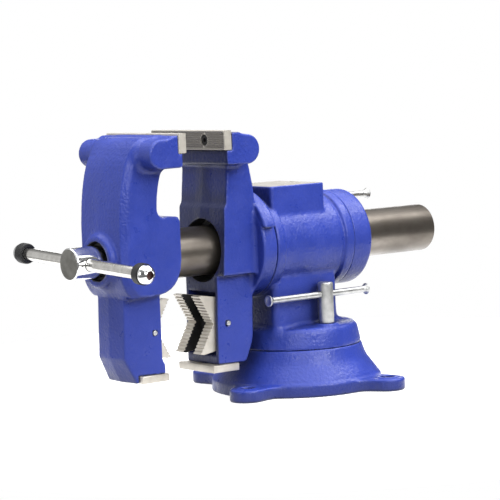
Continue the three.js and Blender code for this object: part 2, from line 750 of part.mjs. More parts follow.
add('nut_stud', rod([0, nutY, axisZ - screwR - 3.5], [0, nutY, axisZ - sleeveR + 0.8], studR, studR, 20), darkSteel);

add('rear_jaw_insert', jawInsert(rearFaceY, -1), groundSteel);
add('front_jaw_insert', jawInsert(frontFaceY, 1), groundSteel);
[-insertScrewX, insertScrewX].forEach((x, i) => {
  add(`rear_insert_screw_${i + 1}`, insertScrew(rearFaceY, -1, x), darkSteel);
  add(`front_insert_screw_${i + 1}`, insertScrew(frontFaceY, 1, x), darkSteel);
});
add('rear_bottom_plate', bottomPlate(-130, rearPlateY), groundSteel);
add('front_bottom_plate', bottomPlate(-217.5, frontPlateY), groundSteel);
[-plateScrewX, plateScrewX].forEach((x, i) => {
  add(`rear_plate_screw_${i + 1}`, plateScrew(rearPlateY, x), darkSteel);
  add(`front_plate_screw_${i + 1}`, plateScrew(frontPlateY, x), darkSteel);
});
add('rear_pipe_jaw', rearPipeJaw(), groundSteel);
add('front_pipe_jaw', frontPipeJaw(), groundSteel);
add('rear_pipe_jaw_pin', pipePin(rearPipeY), zinc);
add('front_pipe_jaw_pin', pipePin(frontPipeY), zinc);

add('front_jaw', frontJaw(), bluePaint);
add('slide_tube', slideTube(), turnedSteel);
add('tube_set_screw', rod([-37, -200, axisZ], [-tubeR - gap, -200, axisZ], 4, 4, 16), darkSteel);

add('lead_screw', leadScrew(), chrome);
add('thrust_washer', axial(hubBack - 2.9, hubBack - gap, hubR + 2.5, 24)
  .subtract(axial(-260, -220, screwR + gap, 24)), darkSteel);
add('screw_retaining_ring', cut(
  axial(tubeFront + gap, tubeFront + 9, tubeBoreR - 1.5, 28),
  axial(-230, -200, screwR + gap, 24),
), darkSteel);

add('handle_bar', handleBar(), chrome);
for (const [label, side] of [['near', 1], ['far', -1]]) {
  add(`handle_ball_${label}`, handleBall(side), chrome);
  add(`handle_buffer_${label}`, bufferRing(side), rubber);
}

export default vise;
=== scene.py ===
"""A 5 inch multi-jaw bench vise in blue enamel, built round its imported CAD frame.

Lengths in this script are millimetres until a mesh is made. X runs across the jaws, the slide lies
along Y with the handle at -Y, and Z is up. The four castings are distance fields with real fillets,
meshed by surface nets. Everything machined is turned, extruded and cut.
"""

import math

import bmesh
import bpy
import numpy as np
from mathutils import Matrix, Vector


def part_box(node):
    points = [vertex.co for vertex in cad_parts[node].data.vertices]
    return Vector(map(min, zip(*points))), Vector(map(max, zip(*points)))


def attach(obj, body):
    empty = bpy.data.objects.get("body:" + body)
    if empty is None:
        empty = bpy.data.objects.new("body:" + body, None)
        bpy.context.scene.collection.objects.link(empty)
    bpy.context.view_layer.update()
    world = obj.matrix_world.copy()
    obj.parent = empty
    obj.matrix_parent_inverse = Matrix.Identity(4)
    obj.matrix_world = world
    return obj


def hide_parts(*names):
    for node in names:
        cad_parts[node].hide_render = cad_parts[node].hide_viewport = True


MM = 0.001

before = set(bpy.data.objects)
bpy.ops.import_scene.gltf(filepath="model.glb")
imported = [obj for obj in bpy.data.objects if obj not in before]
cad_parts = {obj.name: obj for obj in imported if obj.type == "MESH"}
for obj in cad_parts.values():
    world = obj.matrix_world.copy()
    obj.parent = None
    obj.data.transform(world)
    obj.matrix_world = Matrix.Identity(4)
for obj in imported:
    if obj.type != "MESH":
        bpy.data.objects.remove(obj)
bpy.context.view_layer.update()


# -------- places and sizes from the frame

def low_mm(node):
    return [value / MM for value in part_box(node)[0]]


def high_mm(node):
    return [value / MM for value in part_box(node)[1]]


def middle_mm(node):
    return [(a + b) / 2 for a, b in zip(low_mm(node), high_mm(node))]


GAP = 0.3  # between pieces that touch
AXIS_Z = middle_mm("slide_tube")[2]
TUBE_FRONT, TUBE_END = low_mm("slide_tube")[1], high_mm("slide_tube")[1]
TUBE_R = high_mm("slide_tube")[0]
TUBE_BORE_R = 18.5

_, FRONT_SEAT, INSERT_LOW = low_mm("front_jaw_insert")
JAW_HALF, FRONT_FACE, JAW_TOP = high_mm("front_jaw_insert")
REAR_FACE, REAR_SEAT = low_mm("rear_jaw_insert")[1], high_mm("rear_jaw_insert")[1]
INSERT_SCREW_X, _, INSERT_SCREW_Z = middle_mm("rear_insert_screw_2")
INSERT_HOLE_R = 4.3
BETWEEN_JAWS_Y = -150

NECK_HALF = 38
COLUMN_HALF, _, PLATE_TOP = high_mm("rear_bottom_plate")
COLUMN_LOW = PLATE_TOP + GAP
PLATE_SCREW_X = middle_mm("rear_plate_screw_2")[0]

_, REAR_PIPE_Y, PIPE_PIN_Z = middle_mm("rear_pipe_jaw_pin")
FRONT_PIPE_Y = middle_mm("front_pipe_jaw_pin")[1]
PIN_HOLE_R = 2.9
PIPE_HALF = high_mm("rear_pipe_jaw")[0]
PIPE_ARC_R = 25
PIPE_V_HALF = 29
PIPE_V_DEEP = 16.5
REAR_TIP_Y = low_mm("rear_pipe_jaw")[1]
FRONT_TIP_Y = high_mm("front_pipe_jaw")[1]
CHANNEL_HALF, CHANNEL_FLOOR_Y = 8.4, -116
BLADE_HALF = 7.6
PIPE_MOUTH_HALF, PIPE_MOUTH_DEEP = 31.5, 8

FLANGE_FRONT, FLANGE_BACK, FLANGE_R = -77.5, -60.3, 52.5
SHROUD_R = 59.5
SLEEVE_R, SLEEVE_END = 39, 66
BARREL_R = 49
BARREL_FRONT, BARREL_REAR = -59.5, 44.5
FRONT_RING_BACK, REAR_RING_FRONT = -48.3, 33.4
COLLAR_FRONT = low_mm("rear_collar")[1]
COLLAR_R, COLLAR_REAR, _ = high_mm("rear_collar")

ANVIL_HALF = 38
ANVIL_Y = (-55, 16)
ANVIL_TOP = high_mm("swivel_housing")[2]
PEDESTAL_Y = (-55, 29)
SEAM_Z = low_mm("swivel_housing")[2] - GAP
RING_TOP = 69

LOCK_X, LOCK_Y, _ = middle_mm("lock_bolt_right")
LOCK_LOW, LOCK_TOP = low_mm("lock_bolt_right")[2], high_mm("lock_bolt_right")[2]
LOCK_HEAD_R = 8
BAR_R, FLARE_R = 3.4, 6
BAR_Z = middle_mm("lock_bar_right")[2]
HEAD_LOCK_Y = middle_mm("head_lock_bolt")[1]
HEAD_LOCK_ANGLE = math.radians(140)
HEAD_BAR_R = 59.5
HEAD_LOCK_TOP = 71

FLANGE_LOW_R, FLANGE_THICK = 88.2, 12.8
EAR_CIRCLE_R, EAR_R, EAR_HOLE_R = 105.8, 17.9, 7.5
EAR_ANGLE = math.radians(22.6)

HUB_R = 16
HUB_FRONT = low_mm("lead_screw")[1]
HUB_BACK = -241.2
SCREW_R, SCREW_END = 11, high_mm("lead_screw")[1]
SCREW_PITCH = 6
HANDLE_R = 6.3
HANDLE_Y = middle_mm("handle_bar")[1]
HANDLE_TILT = math.radians(2.8)
HANDLE_HALF = 106.1
BALL_R = 9.5
BUFFER_R, BUFFER_LONG = 10.4, 10


# -------- outlines

def arc(centre, radius, start, end, steps=10):
    """Points of an arc between two angles in degrees, with no rounding at them."""
    angles = np.radians(np.linspace(start, end, steps + 1))
    return [(centre[0] + radius * math.cos(a), centre[1] + radius * math.sin(a), 0) for a in angles]


def plain(points):
    """The points without the easing that rounded() reads."""
    return [point[:2] for point in points]


def bend(start, control, end, steps=7):
    """Points of a curve from start to end that heads for control."""
    points = []
    for t in np.linspace(0, 1, steps + 1):
        a, b, c = (1 - t) ** 2, 2 * t * (1 - t), t * t
        points.append((
            a * start[0] + b * control[0] + c * end[0],
            a * start[1] + b * control[1] + c * end[1], 0,
        ))
    return points


def rounded(corners, radius, closed=True, steps=4):
    """The outline through the corners, each eased by radius or by its own third number."""
    corners = [c for i, c in enumerate(corners) if math.dist(c[:2], corners[i - 1][:2]) > 1e-6]
    count = len(corners)
    points = []
    for i, corner in enumerate(corners):
        here = np.array(corner[:2], float)
        ease = corner[2] if len(corner) > 2 else radius
        if ease == 0 or (not closed and i in (0, count - 1)):
            points.append(tuple(here))
            continue
        before = np.array(corners[i - 1][:2], float) - here
        after = np.array(corners[(i + 1) % count][:2], float) - here
        reach = [min(ease, 0.45 * np.linalg.norm(side)) for side in (before, after)]
        start = here + before / np.linalg.norm(before) * reach[0]
        end = here + after / np.linalg.norm(after) * reach[1]
        points += plain(bend(start, here, end, steps))
    return points


def outline_field(points, u, v):
    """Signed distance in the plane from a closed outline, less than 0 inside."""
    nearest = np.full(np.broadcast(u, v).shape, np.inf)
    sign = np.ones(nearest.shape)
    for (u0, v0), (u1, v1) in zip(points, points[1:] + points[:1]):
        eu, ev = u1 - u0, v1 - v0
        square = eu * eu + ev * ev
        if square < 1e-12:
            continue
        wu, wv = u - u0, v - v0
        along = np.clip((wu * eu + wv * ev) / square, 0, 1)
        nearest = np.minimum(nearest, (wu - eu * along) ** 2 + (wv - ev * along) ** 2)
        above, below, left = v >= v0, v < v1, eu * wv > ev * wu
        crossing = (above & below & left) | ~(above | below | left)
        sign = np.where(crossing, -sign, sign)
    return sign * np.sqrt(nearest)


# -------- distance fields

def slab(v, low, high):
    return np.abs(v - (low + high) / 2) - (high - low) / 2


def meet(radius, *fields):
    """What lies in all the fields, its convex edges rounded."""
    deepest = fields[0]
    square = np.maximum(fields[0] + radius, 0) ** 2
    for field in fields[1:]:
        deepest = np.maximum(deepest, field)
        square = square + np.maximum(field + radius, 0) ** 2
    return np.minimum(deepest, -radius) + np.sqrt(square)


def fuse(radius, *fields):
    """All the fields in one casting, with a fillet in each inner corner."""
    nearest = fields[0]
    square = np.maximum(radius - fields[0], 0) ** 2
    for field in fields[1:]:
        nearest = np.minimum(nearest, field)
        square = square + np.maximum(radius - field, 0) ** 2
    return np.maximum(nearest, radius) - np.sqrt(square)


def carve(radius, body, *tools):
    for tool in tools:
        body = meet(radius, body, -tool)
    return body


def bevelled(a, b, leg_a, leg_b):
    """What lies in both fields, with a flat that starts leg_a inside of a and leg_b inside of b."""
    flat = (a * leg_b + b * leg_a + leg_a * leg_b) / math.hypot(leg_a, leg_b)
    return np.maximum(np.maximum(a, b), flat)


def from_slide(x, z):
    return np.hypot(x, z - AXIS_Z)


def upright(x, y, centre, radius):
    return np.hypot(x - centre[0], y - centre[1]) - radius


def surface_nets(field, low, high, step):
    """A closed quad mesh of field's zero surface in a box, every vertex then moved onto the surface."""
    axes = [np.arange(a - 1.5 * step, b + 2.5 * step, step) for a, b in zip(low, high)]
    grid = np.meshgrid(*axes, indexing="ij", sparse=True)
    values = np.broadcast_to(field(*grid), [len(a) for a in axes]).astype(np.float32)
    inside = values < 0
    cells = tuple(n - 1 for n in values.shape)
    corners = [(i, j, k) for i in (0, 1) for j in (0, 1) for k in (0, 1)]

    def shifted(array, corner):
        return array[tuple(slice(o, o + n) for o, n in zip(corner, cells))]

    total = sum(shifted(inside, corner).astype(np.int8) for corner in corners)
    active = (total > 0) & (total < 8)
    where = np.argwhere(active)
    at = {corner: shifted(values, corner)[active] for corner in corners}
    place = np.zeros((len(where), 3))
    crossings = np.zeros(len(where))
    for a in corners:
        for axis in range(3):
            if a[axis]:
                continue
            b = tuple(1 if i == axis else a[i] for i in range(3))
            cut_here = (at[a] < 0) != (at[b] < 0)
            along = at[a][cut_here] / (at[a][cut_here] - at[b][cut_here])
            point = np.tile(np.array(a, float), (len(along), 1))
            point[:, axis] = along
            place[cut_here] += point
            crossings[cut_here] += 1
    origin = np.array([a[0] for a in axes])
    vertices = origin + step * (where + place / crossings[:, None])

    number = np.full(cells, -1)
    number[active] = np.arange(len(where))
    faces = []
    for axis in range(3):
        u, v = [(1, 2), (2, 0), (0, 1)][axis]
        first = [slice(1, n - 1) for n in values.shape]
        first[axis] = slice(0, values.shape[axis] - 1)
        second = list(first)
        second[axis] = slice(1, values.shape[axis])
        crossing = inside[tuple(first)] != inside[tuple(second)]
        leaving = inside[tuple(first)][crossing]
        index = np.argwhere(crossing)
        quad = []
        for du, dv in ((0, 0), (1, 0), (1, 1), (0, 1)):
            cell = index.copy()
            cell[:, u] += du
            cell[:, v] += dv
            quad.append(number[tuple(cell.T)])
        quad = np.stack(quad, axis=1)
        quad[~leaving] = quad[~leaving][:, ::-1]
        faces.append(quad)
    return onto_surface(field, vertices, step), np.concatenate(faces)


def onto_surface(field, vertices, step, rounds=2, probe=0.05):
    """Newton steps along the field's slope, read at the corners of a small tetrahedron."""
    directions = np.array([(1, -1, -1), (-1, -1, 1), (-1, 1, -1), (1, 1, 1)], float)
    for _ in range(rounds):
        height = np.zeros(len(vertices))
        slope = np.zeros_like(vertices)
        for direction in directions:
            value = field(*(vertices + probe * direction).T)
            height += value / 4
            slope += value[:, None] * direction / (4 * probe)
        steep = np.maximum((slope ** 2).sum(axis=1), 0.2)
        move = -slope * (height / steep)[:, None]
        length = np.linalg.norm(move, axis=1)
        vertices = vertices + move * np.minimum(1, 0.7 * step / np.maximum(length, 1e-9))[:, None]
    return vertices


# -------- meshes

def smooth(piece, angle=35):
    piece.data.shade_smooth()
    piece.data.set_sharp_from_angle(angle=math.radians(angle))
    return piece


def make_object(name, vertices, faces, material, smooth_angle=35):
    """A named piece from vertices in millimetres."""
    mesh = bpy.data.meshes.new(name)
    mesh.from_pydata((np.asarray(vertices, float) * MM).tolist(), [], [list(map(int, f)) for f in faces])
    mesh.materials.append(material)
    work = bmesh.new()
    work.from_mesh(mesh)
    bmesh.ops.recalc_face_normals(work, faces=work.faces)
    work.to_mesh(mesh)
    work.free()
    piece = bpy.data.objects.new(name, mesh)
    bpy.context.scene.collection.objects.link(piece)
    return smooth(piece, smooth_angle)


def bands(rings, closed=False):
    """Faces between each ring of vertex numbers and the next. Corners that coincide are left out."""
    faces = []
    for lower, upper in zip(rings, rings[1:] + rings[:1] if closed else rings[1:]):
        for corners in zip(lower, lower[1:] + lower[:1], upper[1:] + upper[:1], upper):
            face = list(dict.fromkeys(corners))
            if len(face) > 2:
                faces.append(face)
    return faces


def turned(name, profile, start, end, material, sides=64, ease=None, closed=False):
    """A turned piece from (radius, distance from start) points, whose corners ease rounds.

    An open profile begins and ends on the axis.
    """
    if ease is not None:
        profile = rounded(profile, ease, closed)
    start = Vector(start)
    direction = Vector(end) - start
    placed = Matrix.Translation(start) @ direction.to_track_quat("Z", "Y").to_matrix().to_4x4()
    angles = [2 * math.pi * i / sides for i in range(sides)]
    vertices, rings = [], []
    for radius, height in profile:
        first = len(vertices)
        on_axis = radius < 1e-6
        rings.append([first] * sides if on_axis else list(range(first, first + sides)))
        for angle in [0] if on_axis else angles:
            vertices.append(placed @ Vector((radius * math.cos(angle), radius * math.sin(angle), height)))
    return make_object(name, vertices, bands(rings, closed), material)


def shaft(name, radius, start, end, material, ease=0.6, sides=64):
    """A plain turned length with eased ends."""
    length = (Vector(end) - Vector(start)).length
    corners = [(0, 0), (radius, 0), (radius, length), (0, length)]
    return turned(name, corners, start, end, material, sides, ease)


def drill(radius, start, end, sides=64):
    """A cutter for a round hole."""
    return shaft("drill", radius, start, end, DARK, 0.1, sides)


def prism(name, points, low_x, high_x, material):
    """An outline of (y, z) drawn out along X."""
    count = len(points)
    vertices = [(x, y, z) for x in (low_x, high_x) for y, z in points]
    ends = [list(range(count)), list(range(count, 2 * count))]
    return make_object(name, vertices, ends + bands(ends), material)


def block(name, low, high, material):
    points = [(low[1], low[2]), (high[1], low[2]), (high[1], high[2]), (low[1], high[2])]
    return prism(name, points, low[0], high[0], material)


def apply_modifiers(piece):
    evaluated = piece.evaluated_get(bpy.context.evaluated_depsgraph_get())
    mesh = bpy.data.meshes.new_from_object(evaluated)
    piece.modifiers.clear()
    piece.data = mesh


def cut(piece, *tools, smooth_angle=35):
    """Takes the tools out of the piece and throws them away."""
    for tool in tools:
        modifier = piece.modifiers.new("cut", "BOOLEAN")
        modifier.operation = "DIFFERENCE"
        modifier.solver = "EXACT"
        modifier.object = tool
    apply_modifiers(piece)
    for tool in tools:
        bpy.data.objects.remove(tool)
    return smooth(piece, smooth_angle)


def ease_edges(piece, width, segments=2):
    modifier = piece.modifiers.new("edges", "BEVEL")
    modifier.width = width * MM
    modifier.segments = segments
    modifier.limit_method = "ANGLE"
    modifier.angle_limit = math.radians(40)
    modifier.harden_normals = False
    apply_modifiers(piece)
    return smooth(piece)


def paint_where(piece, material, chosen):
    """Gives material to the faces that chosen picks by their centre in millimetres and their normal."""
    piece.data.materials.append(material)
    last = len(piece.data.materials) - 1
    for face in piece.data.polygons:
        if chosen(face.center / MM, face.normal):
            face.material_index = last


def place(piece, body, slot, *nodes):
    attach(piece, body)
    if nodes:
        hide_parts(*nodes)


# -------- materials

class Wiring:
    """The nodes of a material or a world. An input that is given an output is linked, any other is set."""

    def __init__(self, owner):
        owner.use_nodes = True
        self.tree = owner.node_tree
        self.tree.nodes.clear()

    def feed(self, socket, value):
        if isinstance(value, bpy.types.NodeSocket):
            self.tree.links.new(value, socket)
        else:
            socket.default_value = value

    def node(self, kind, inputs=None, **settings):
        node = self.tree.nodes.new(kind)
        for name, value in settings.items():
            setattr(node, name, value)
        for socket, value in (inputs or {}).items():
            self.feed(node.inputs[socket], value)
        return node

    def spread(self, source, low, high, start=0.3, end=0.7):
        """The source between start and end, stretched over low to high."""
        return self.node("ShaderNodeMapRange", {
            "Value": source, "From Min": start, "From Max": end, "To Min": low, "To Max": high,
        }).outputs["Result"]

    def ramp(self, source, *stops):
        """A colour ramp through (position, colour) stops."""
        node = self.node("ShaderNodeValToRGB", {"Fac": source})
        elements = node.color_ramp.elements
        while len(elements) < len(stops):
            elements.new(0.5)
        for element, (position, colour) in zip(elements, stops):
            element.position = position
            element.color = (*colour, 1)
        return node.outputs["Color"]

    def greys(self, direction, *stops):
        """A grey ramp of (position, grey) stops over one part of a direction, which runs from -1 to 1."""
        return self.ramp(self.spread(direction, 0, 1, -1, 1), *[(at, (grey,) * 3) for at, grey in stops])

    def product(self, a, b):
        return self.node("ShaderNodeMath", {0: a, 1: b}, operation="MULTIPLY").outputs["Value"]


class Finish(Wiring):
    """A procedural material in the part's own frame."""

    def __init__(self, name, metallic=0):
        self.material = bpy.data.materials.new(name)
        super().__init__(self.material)
        self.shader = self.node("ShaderNodeBsdfPrincipled", {"Metallic": metallic})
        self.node("ShaderNodeOutputMaterial", {"Surface": self.shader.outputs["BSDF"]})

    def noise(self, scale, detail=3, stretch=(1, 1, 1)):
        """Noise with scale features per metre, which stretch multiplies per axis."""
        where = self.node("ShaderNodeTexCoord").outputs["Object"]
        mapping = self.node("ShaderNodeMapping", {"Vector": where, "Scale": stretch})
        return self.node("ShaderNodeTexNoise", {
            "Vector": mapping.outputs["Vector"], "Scale": scale, "Detail": detail,
        }).outputs["Fac"]

    def mottled(self, noise, low, high):
        """Two colours that drift into each other."""
        return self.ramp(noise, (0.3, low), (0.7, high))

    def coordinate(self, kind, axis):
        where = self.node("ShaderNodeTexCoord").outputs[kind]
        return self.node("ShaderNodeSeparateXYZ", {"Vector": where}).outputs[axis]

    def pointiness(self):
        return self.node("ShaderNodeNewGeometry").outputs["Pointiness"]

    def overlay(self, factor, below, colour):
        """Lays a colour over another output."""
        inputs = {"Factor": factor, 6: below, 7: (*colour, 1)}
        return self.node("ShaderNodeMix", inputs, data_type="RGBA").outputs[2]

    def done(self, colour, roughness, *layers):
        """Connects all, with bump layers of (height, distance in millimetres, strength) on each other."""
        self.feed(self.shader.inputs["Base Color"], colour)
        self.feed(self.shader.inputs["Roughness"], roughness)
        inputs = {}
        for height, distance, strength in layers:
            inputs.update({"Height": height, "Distance": distance * MM, "Strength": strength})
            inputs["Normal"] = self.node("ShaderNodeBump", inputs).outputs["Normal"]
        self.feed(self.shader.inputs["Normal"], inputs["Normal"])
        return self.material


def enamel(name="blue_enamel", shade_from_y=None):
    """Glossy blue enamel over as-cast iron: fine orange peel on an uneven skin, paler along worn edges.

    What lies in front of the given y and doesn't face sideways is darkened with painted shade,
    for the front jaw's shadow between the jaws.
    """
    paint = Finish(name)
    colour = paint.mottled(paint.noise(28, 4), (0.026, 0.052, 0.360), (0.036, 0.066, 0.430))
    worn = 0.6 if shade_from_y is None else 0.35
    colour = paint.overlay(
        paint.spread(paint.pointiness(), 0, worn, 0.53, 0.60), colour, (0.11, 0.155, 0.58),
    )
    # Painted shade: the front of the rear jaw is darkened as if in shadow.
    if shade_from_y is not None:
        painted_shade = paint.spread(
            paint.coordinate("Object", "Y"), 0.82, 0, (shade_from_y - 1.5) * MM, (shade_from_y + 1.5) * MM,
        )
        sideways = paint.coordinate("Normal", "X")
        painted_shade = paint.product(painted_shade, paint.spread(paint.product(sideways, sideways), 1, 0, 0.36, 0.81))
        colour = paint.overlay(painted_shade, colour, (0.022, 0.026, 0.060))
    # Painted shade: ambient occlusion darkens the enamel in hollows, corners and under overhangs.
    hollow = paint.node("ShaderNodeAmbientOcclusion", {"Distance": 65 * MM}, samples=32)
    hollow_shade = paint.spread(hollow.outputs["AO"], 0.8, 0, 0.35, 0.80)
    colour = paint.overlay(hollow_shade, colour, (0.010, 0.015, 0.075))
    paint.feed(paint.shader.inputs["Specular IOR Level"], 0.45)
    return paint.done(
        colour, paint.spread(paint.noise(90), 0.26, 0.44),
        (paint.noise(120, 2), 0.4, 0.4), (paint.noise(330, 2), 0.55, 1.0),
    )


def pale_steel(name, direction, tone=1.0, metallic=0.7):
    """Ground steel, unpainted. The grinding marks run along the direction with the small stretch."""
    steel = Finish(name, metallic)
    low, high = [[tone * c for c in colour] for colour in ((0.56, 0.52, 0.455), (0.72, 0.68, 0.61))]
    marks = steel.noise(900, 3, direction)
    return steel.done(
        steel.mottled(steel.noise(70, 4), low, high), steel.spread(marks, 0.34, 0.56),
        (marks, 0.06, 0.5), (steel.noise(260), 0.08, 0.3),
    )


def turned_steel():
    """The oiled slide tube: dark brown-grey, with fine turning marks round it and patches of handling."""
    steel = Finish("oiled_turned_steel", 0.9)
    patches = steel.noise(34, 5, (1, 0.5, 1))
    colour = steel.ramp(
        patches, (0.3, (0.12, 0.104, 0.088)), (0.52, (0.19, 0.168, 0.145)), (0.72, (0.31, 0.28, 0.25)),
    )
    rings = steel.noise(1500, 2, (0.02, 1, 0.02))
    return steel.done(
        colour, steel.spread(patches, 0.40, 0.27), (rings, 0.03, 0.6), (steel.noise(160), 0.05, 0.25),
    )


def plated(name, low, high, rough):
    """Bright plating with a faint cloudiness and fine scratches."""
    plate = Finish(name, 1)
    haze = plate.noise(300, 4, (1, 0.35, 1))
    return plate.done(
        plate.mottled(plate.noise(140, 4), low, high), plate.spread(haze, *rough), (haze, 0.012, 0.3),
    )


def dull_metal(name, low, high, rough, metallic):
    """Blackened, rusted or cast metal with a fine grain."""
    metal = Finish(name, metallic)
    grain = metal.noise(700)
    return metal.done(
        metal.mottled(metal.noise(160, 4), low, high), metal.spread(grain, *rough), (grain, 0.05, 0.4),
    )


def black_rubber():
    rubber = Finish("black_rubber")
    grain = rubber.noise(1400)
    colour = rubber.mottled(rubber.noise(200), (0.006, 0.006, 0.007), (0.016, 0.016, 0.017))
    return rubber.done(colour, rubber.spread(grain, 0.42, 0.62), (grain, 0.05, 0.5))


def serrated_steel():
    """The cut faces of the inserts: dark in the grooves as painted shade, bright on the points of the
    pyramids as painted highlight.
    """
    steel = Finish("serrated_steel", 0.6)
    grooves, slopes, points = (0.03, 0.028, 0.025), (0.22, 0.205, 0.185), (0.72, 0.68, 0.61)
    colour = steel.ramp(steel.pointiness(), (0.40, grooves), (0.50, slopes), (0.60, points))
    grain = steel.noise(500)
    return steel.done(colour, steel.spread(grain, 0.40, 0.62), (grain, 0.08, 0.5))


def faced_steel():
    """A turned end face: fine rings about the slide's axis."""
    steel = Finish("faced_end", 0.85)
    where = steel.node("ShaderNodeTexCoord").outputs["Object"]
    centred = steel.node("ShaderNodeMapping", {"Vector": where, "Location": (0, 0, -AXIS_Z * MM)})
    rings = steel.node(
        "ShaderNodeTexWave",
        {"Vector": centred.outputs["Vector"], "Scale": 420, "Distortion": 2.5, "Detail": 2},
        wave_type="RINGS", rings_direction="Y",
    ).outputs["Fac"]
    colour = steel.mottled(steel.noise(120, 4), (0.17, 0.165, 0.15), (0.27, 0.265, 0.245))
    return steel.done(colour, steel.spread(rings, 0.32, 0.5, 0, 1), (rings, 0.02, 0.5))


BLUE = enamel()
# The rear jaw's enamel, with painted shade on its front between the jaws.
SHADED_BLUE = enamel("blue_enamel_painted_shade", REAR_FACE + 19)
GROUND = pale_steel("ground_steel", (0.06, 1, 1))
ANVIL_STEEL = pale_steel("anvil_steel", (1, 0.08, 1), 0.60, 0.35)
TURNED = turned_steel()
CHROME = plated("chrome_plate", (0.80, 0.81, 0.82), (0.88, 0.88, 0.88), (0.06, 0.13))
BAR_CHROME = plated("bar_chrome", (0.62, 0.605, 0.575), (0.76, 0.745, 0.71), (0.12, 0.20))
ZINC = plated("zinc_plate", (0.40, 0.405, 0.40), (0.58, 0.58, 0.57), (0.33, 0.46))
# Black oxide on the screws, thread and sleeve; also laid on the jaws' recesses and the pipe jaw's channel
# as painted shade.
DARK = dull_metal("black_oxide_and_painted_shade", (0.012, 0.012, 0.013), (0.030, 0.029, 0.028), (0.40, 0.55), 0.3)
RUSTED = dull_metal("rusted_socket", (0.050, 0.018, 0.016), (0.14, 0.075, 0.065), (0.45, 0.65), 0.3)
SERRATED = serrated_steel()
BRONZE = dull_metal("bearing_bronze", (0.36, 0.21, 0.08), (0.50, 0.32, 0.14), (0.28, 0.42), 0.95)
RUBBER = black_rubber()
FACED = faced_steel()


# -------- castings

def pipe_pocket(x, y, z, pin_y, towards):
    """The pocket that a pipe jaw rocks in: a round back and a flared mouth."""
    radius = PIPE_ARC_R + 0.9
    mouth_y, far_y = pin_y + towards * PIPE_MOUTH_DEEP, pin_y + towards * 60
    upper = [(pin_y, radius), (mouth_y, PIPE_MOUTH_HALF), (far_y, PIPE_MOUTH_HALF + 6)]
    mouth = [(v, PIPE_PIN_Z + h) for v, h in upper] + [(v, PIPE_PIN_Z - h) for v, h in upper[::-1]]
    section = np.minimum(np.hypot(y - pin_y, z - PIPE_PIN_Z) - radius, outline_field(mouth, y, z))
    return meet(0.3, section, np.abs(x) - PIPE_HALF - 0.7)


def machined_jaw(body, x, y, z, seat_y, pin_y, towards, recess, *bores):
    """A jaw with its insert's seat and screw holes, its pipe jaw's pocket and pin hole, and its bores."""
    seat = slab(y, *sorted((seat_y - towards * GAP, BETWEEN_JAWS_Y)))
    seat = meet(0, seat, slab(z, INSERT_LOW - GAP, 300))
    deep = slab(y, *sorted((seat_y - towards * 18, seat_y + towards * 15)))
    holes = np.hypot(np.abs(x) - INSERT_SCREW_X, z - INSERT_SCREW_Z) - INSERT_HOLE_R
    pin_hole = np.hypot(y - pin_y, z - PIPE_PIN_Z) - PIN_HOLE_R
    body = carve(0.8, body, recess, pipe_pocket(x, y, z, pin_y, towards))
    return carve(0.3, body, seat, *bores, pin_hole, meet(0, holes, deep))


FRONT_NOSE, FRONT_NOSE_R = (-206, 255.3), 14.2
FRONT_HORN = rounded([
    (FRONT_FACE - 5, 241.4, 3), (FRONT_FACE - 5, INSERT_LOW - GAP, 0.8),
    (FRONT_SEAT - GAP, INSERT_LOW - GAP, 0), (FRONT_SEAT - GAP, 272.6, 1), (-192, 272.4, 1.5),
    (-196, 269.9, 2), *arc(FRONT_NOSE, FRONT_NOSE_R, 88, 270, 16),
], 1)
FRONT_NECK_FRONT = plain([
    (-120, 270.4), *bend((-204, 270.4), (-223.5, 269), (-232.4, 245)),
    *bend((-232.4, 245), (-240.2, 222), (-241.3, 184)), *bend((-241.3, 140), (-240, 122), (-226, 113)),
    (-120, 90),
])
FRONT_NECK_BACK = rounded([
    (-262, 270.4, 0), (-262, 113, 0),
    (-197, 117.5, 0), *bend((-197, 117.5), (-172, 121), (-170.3, 150)),
    (-170.3, 188.5, 2), (-173, 192.6, 2), (-194, 192.8, 3), (-197.4, 199, 4),
    *bend((-197.4, 202), (-196.6, 226), (-188, 243)), (-186, 270.4, 0),
], 2)
FRONT_COLUMN = rounded([
    (-262, 140, 0), (-262, COLUMN_LOW - 7.5, 0), (-218.3, COLUMN_LOW - 7.5, 1.5),
    (-218.3, COLUMN_LOW, 0), (-189.3, COLUMN_LOW, 1), (-189.3, 47, 2), (-192.3, 52, 2),
    (-192.3, 140, 0),
], 2)


def front_jaw(x, y, z):
    side = np.abs(x)
    horn = meet(1.3, outline_field(FRONT_HORN, y, z), side - JAW_HALF)
    front = outline_field(FRONT_NECK_FRONT, y - 0.05 * side, z)
    neck = meet(1.2, bevelled(side - NECK_HALF, front, 5, 6.5), outline_field(FRONT_NECK_BACK, y, z))
    # A leaning ridge down the column's face, drawn in at its foot, between two slopes and tapering flanks.
    ridge = -233.2 - 0.031 * (126 - z) + 0.52 * np.maximum(56 - z, 0)
    flank = (side - COLUMN_HALF + 0.188 * np.maximum(-192.3 - y, 0)) / 1.02
    column = meet(1.2, flank, ridge + 0.112 * side - y, outline_field(FRONT_COLUMN, y, z))
    radius = from_slide(x, z)
    boss = meet(2.2, radius - 25.5 - 0.3 * (y + 246.5), slab(y, -246.5, -225))
    body = fuse(4, fuse(3, fuse(7, horn, neck), column), boss)
    hub_recess = meet(0, radius - HUB_R - 3.5, y + 238)
    tube_seat = meet(0, radius - TUBE_R - GAP, TUBE_FRONT - GAP - y)
    return machined_jaw(
        body, x, y, z, FRONT_SEAT, FRONT_PIPE_Y, 1, hub_recess, tube_seat, radius - SCREW_R - 2.3,
    )


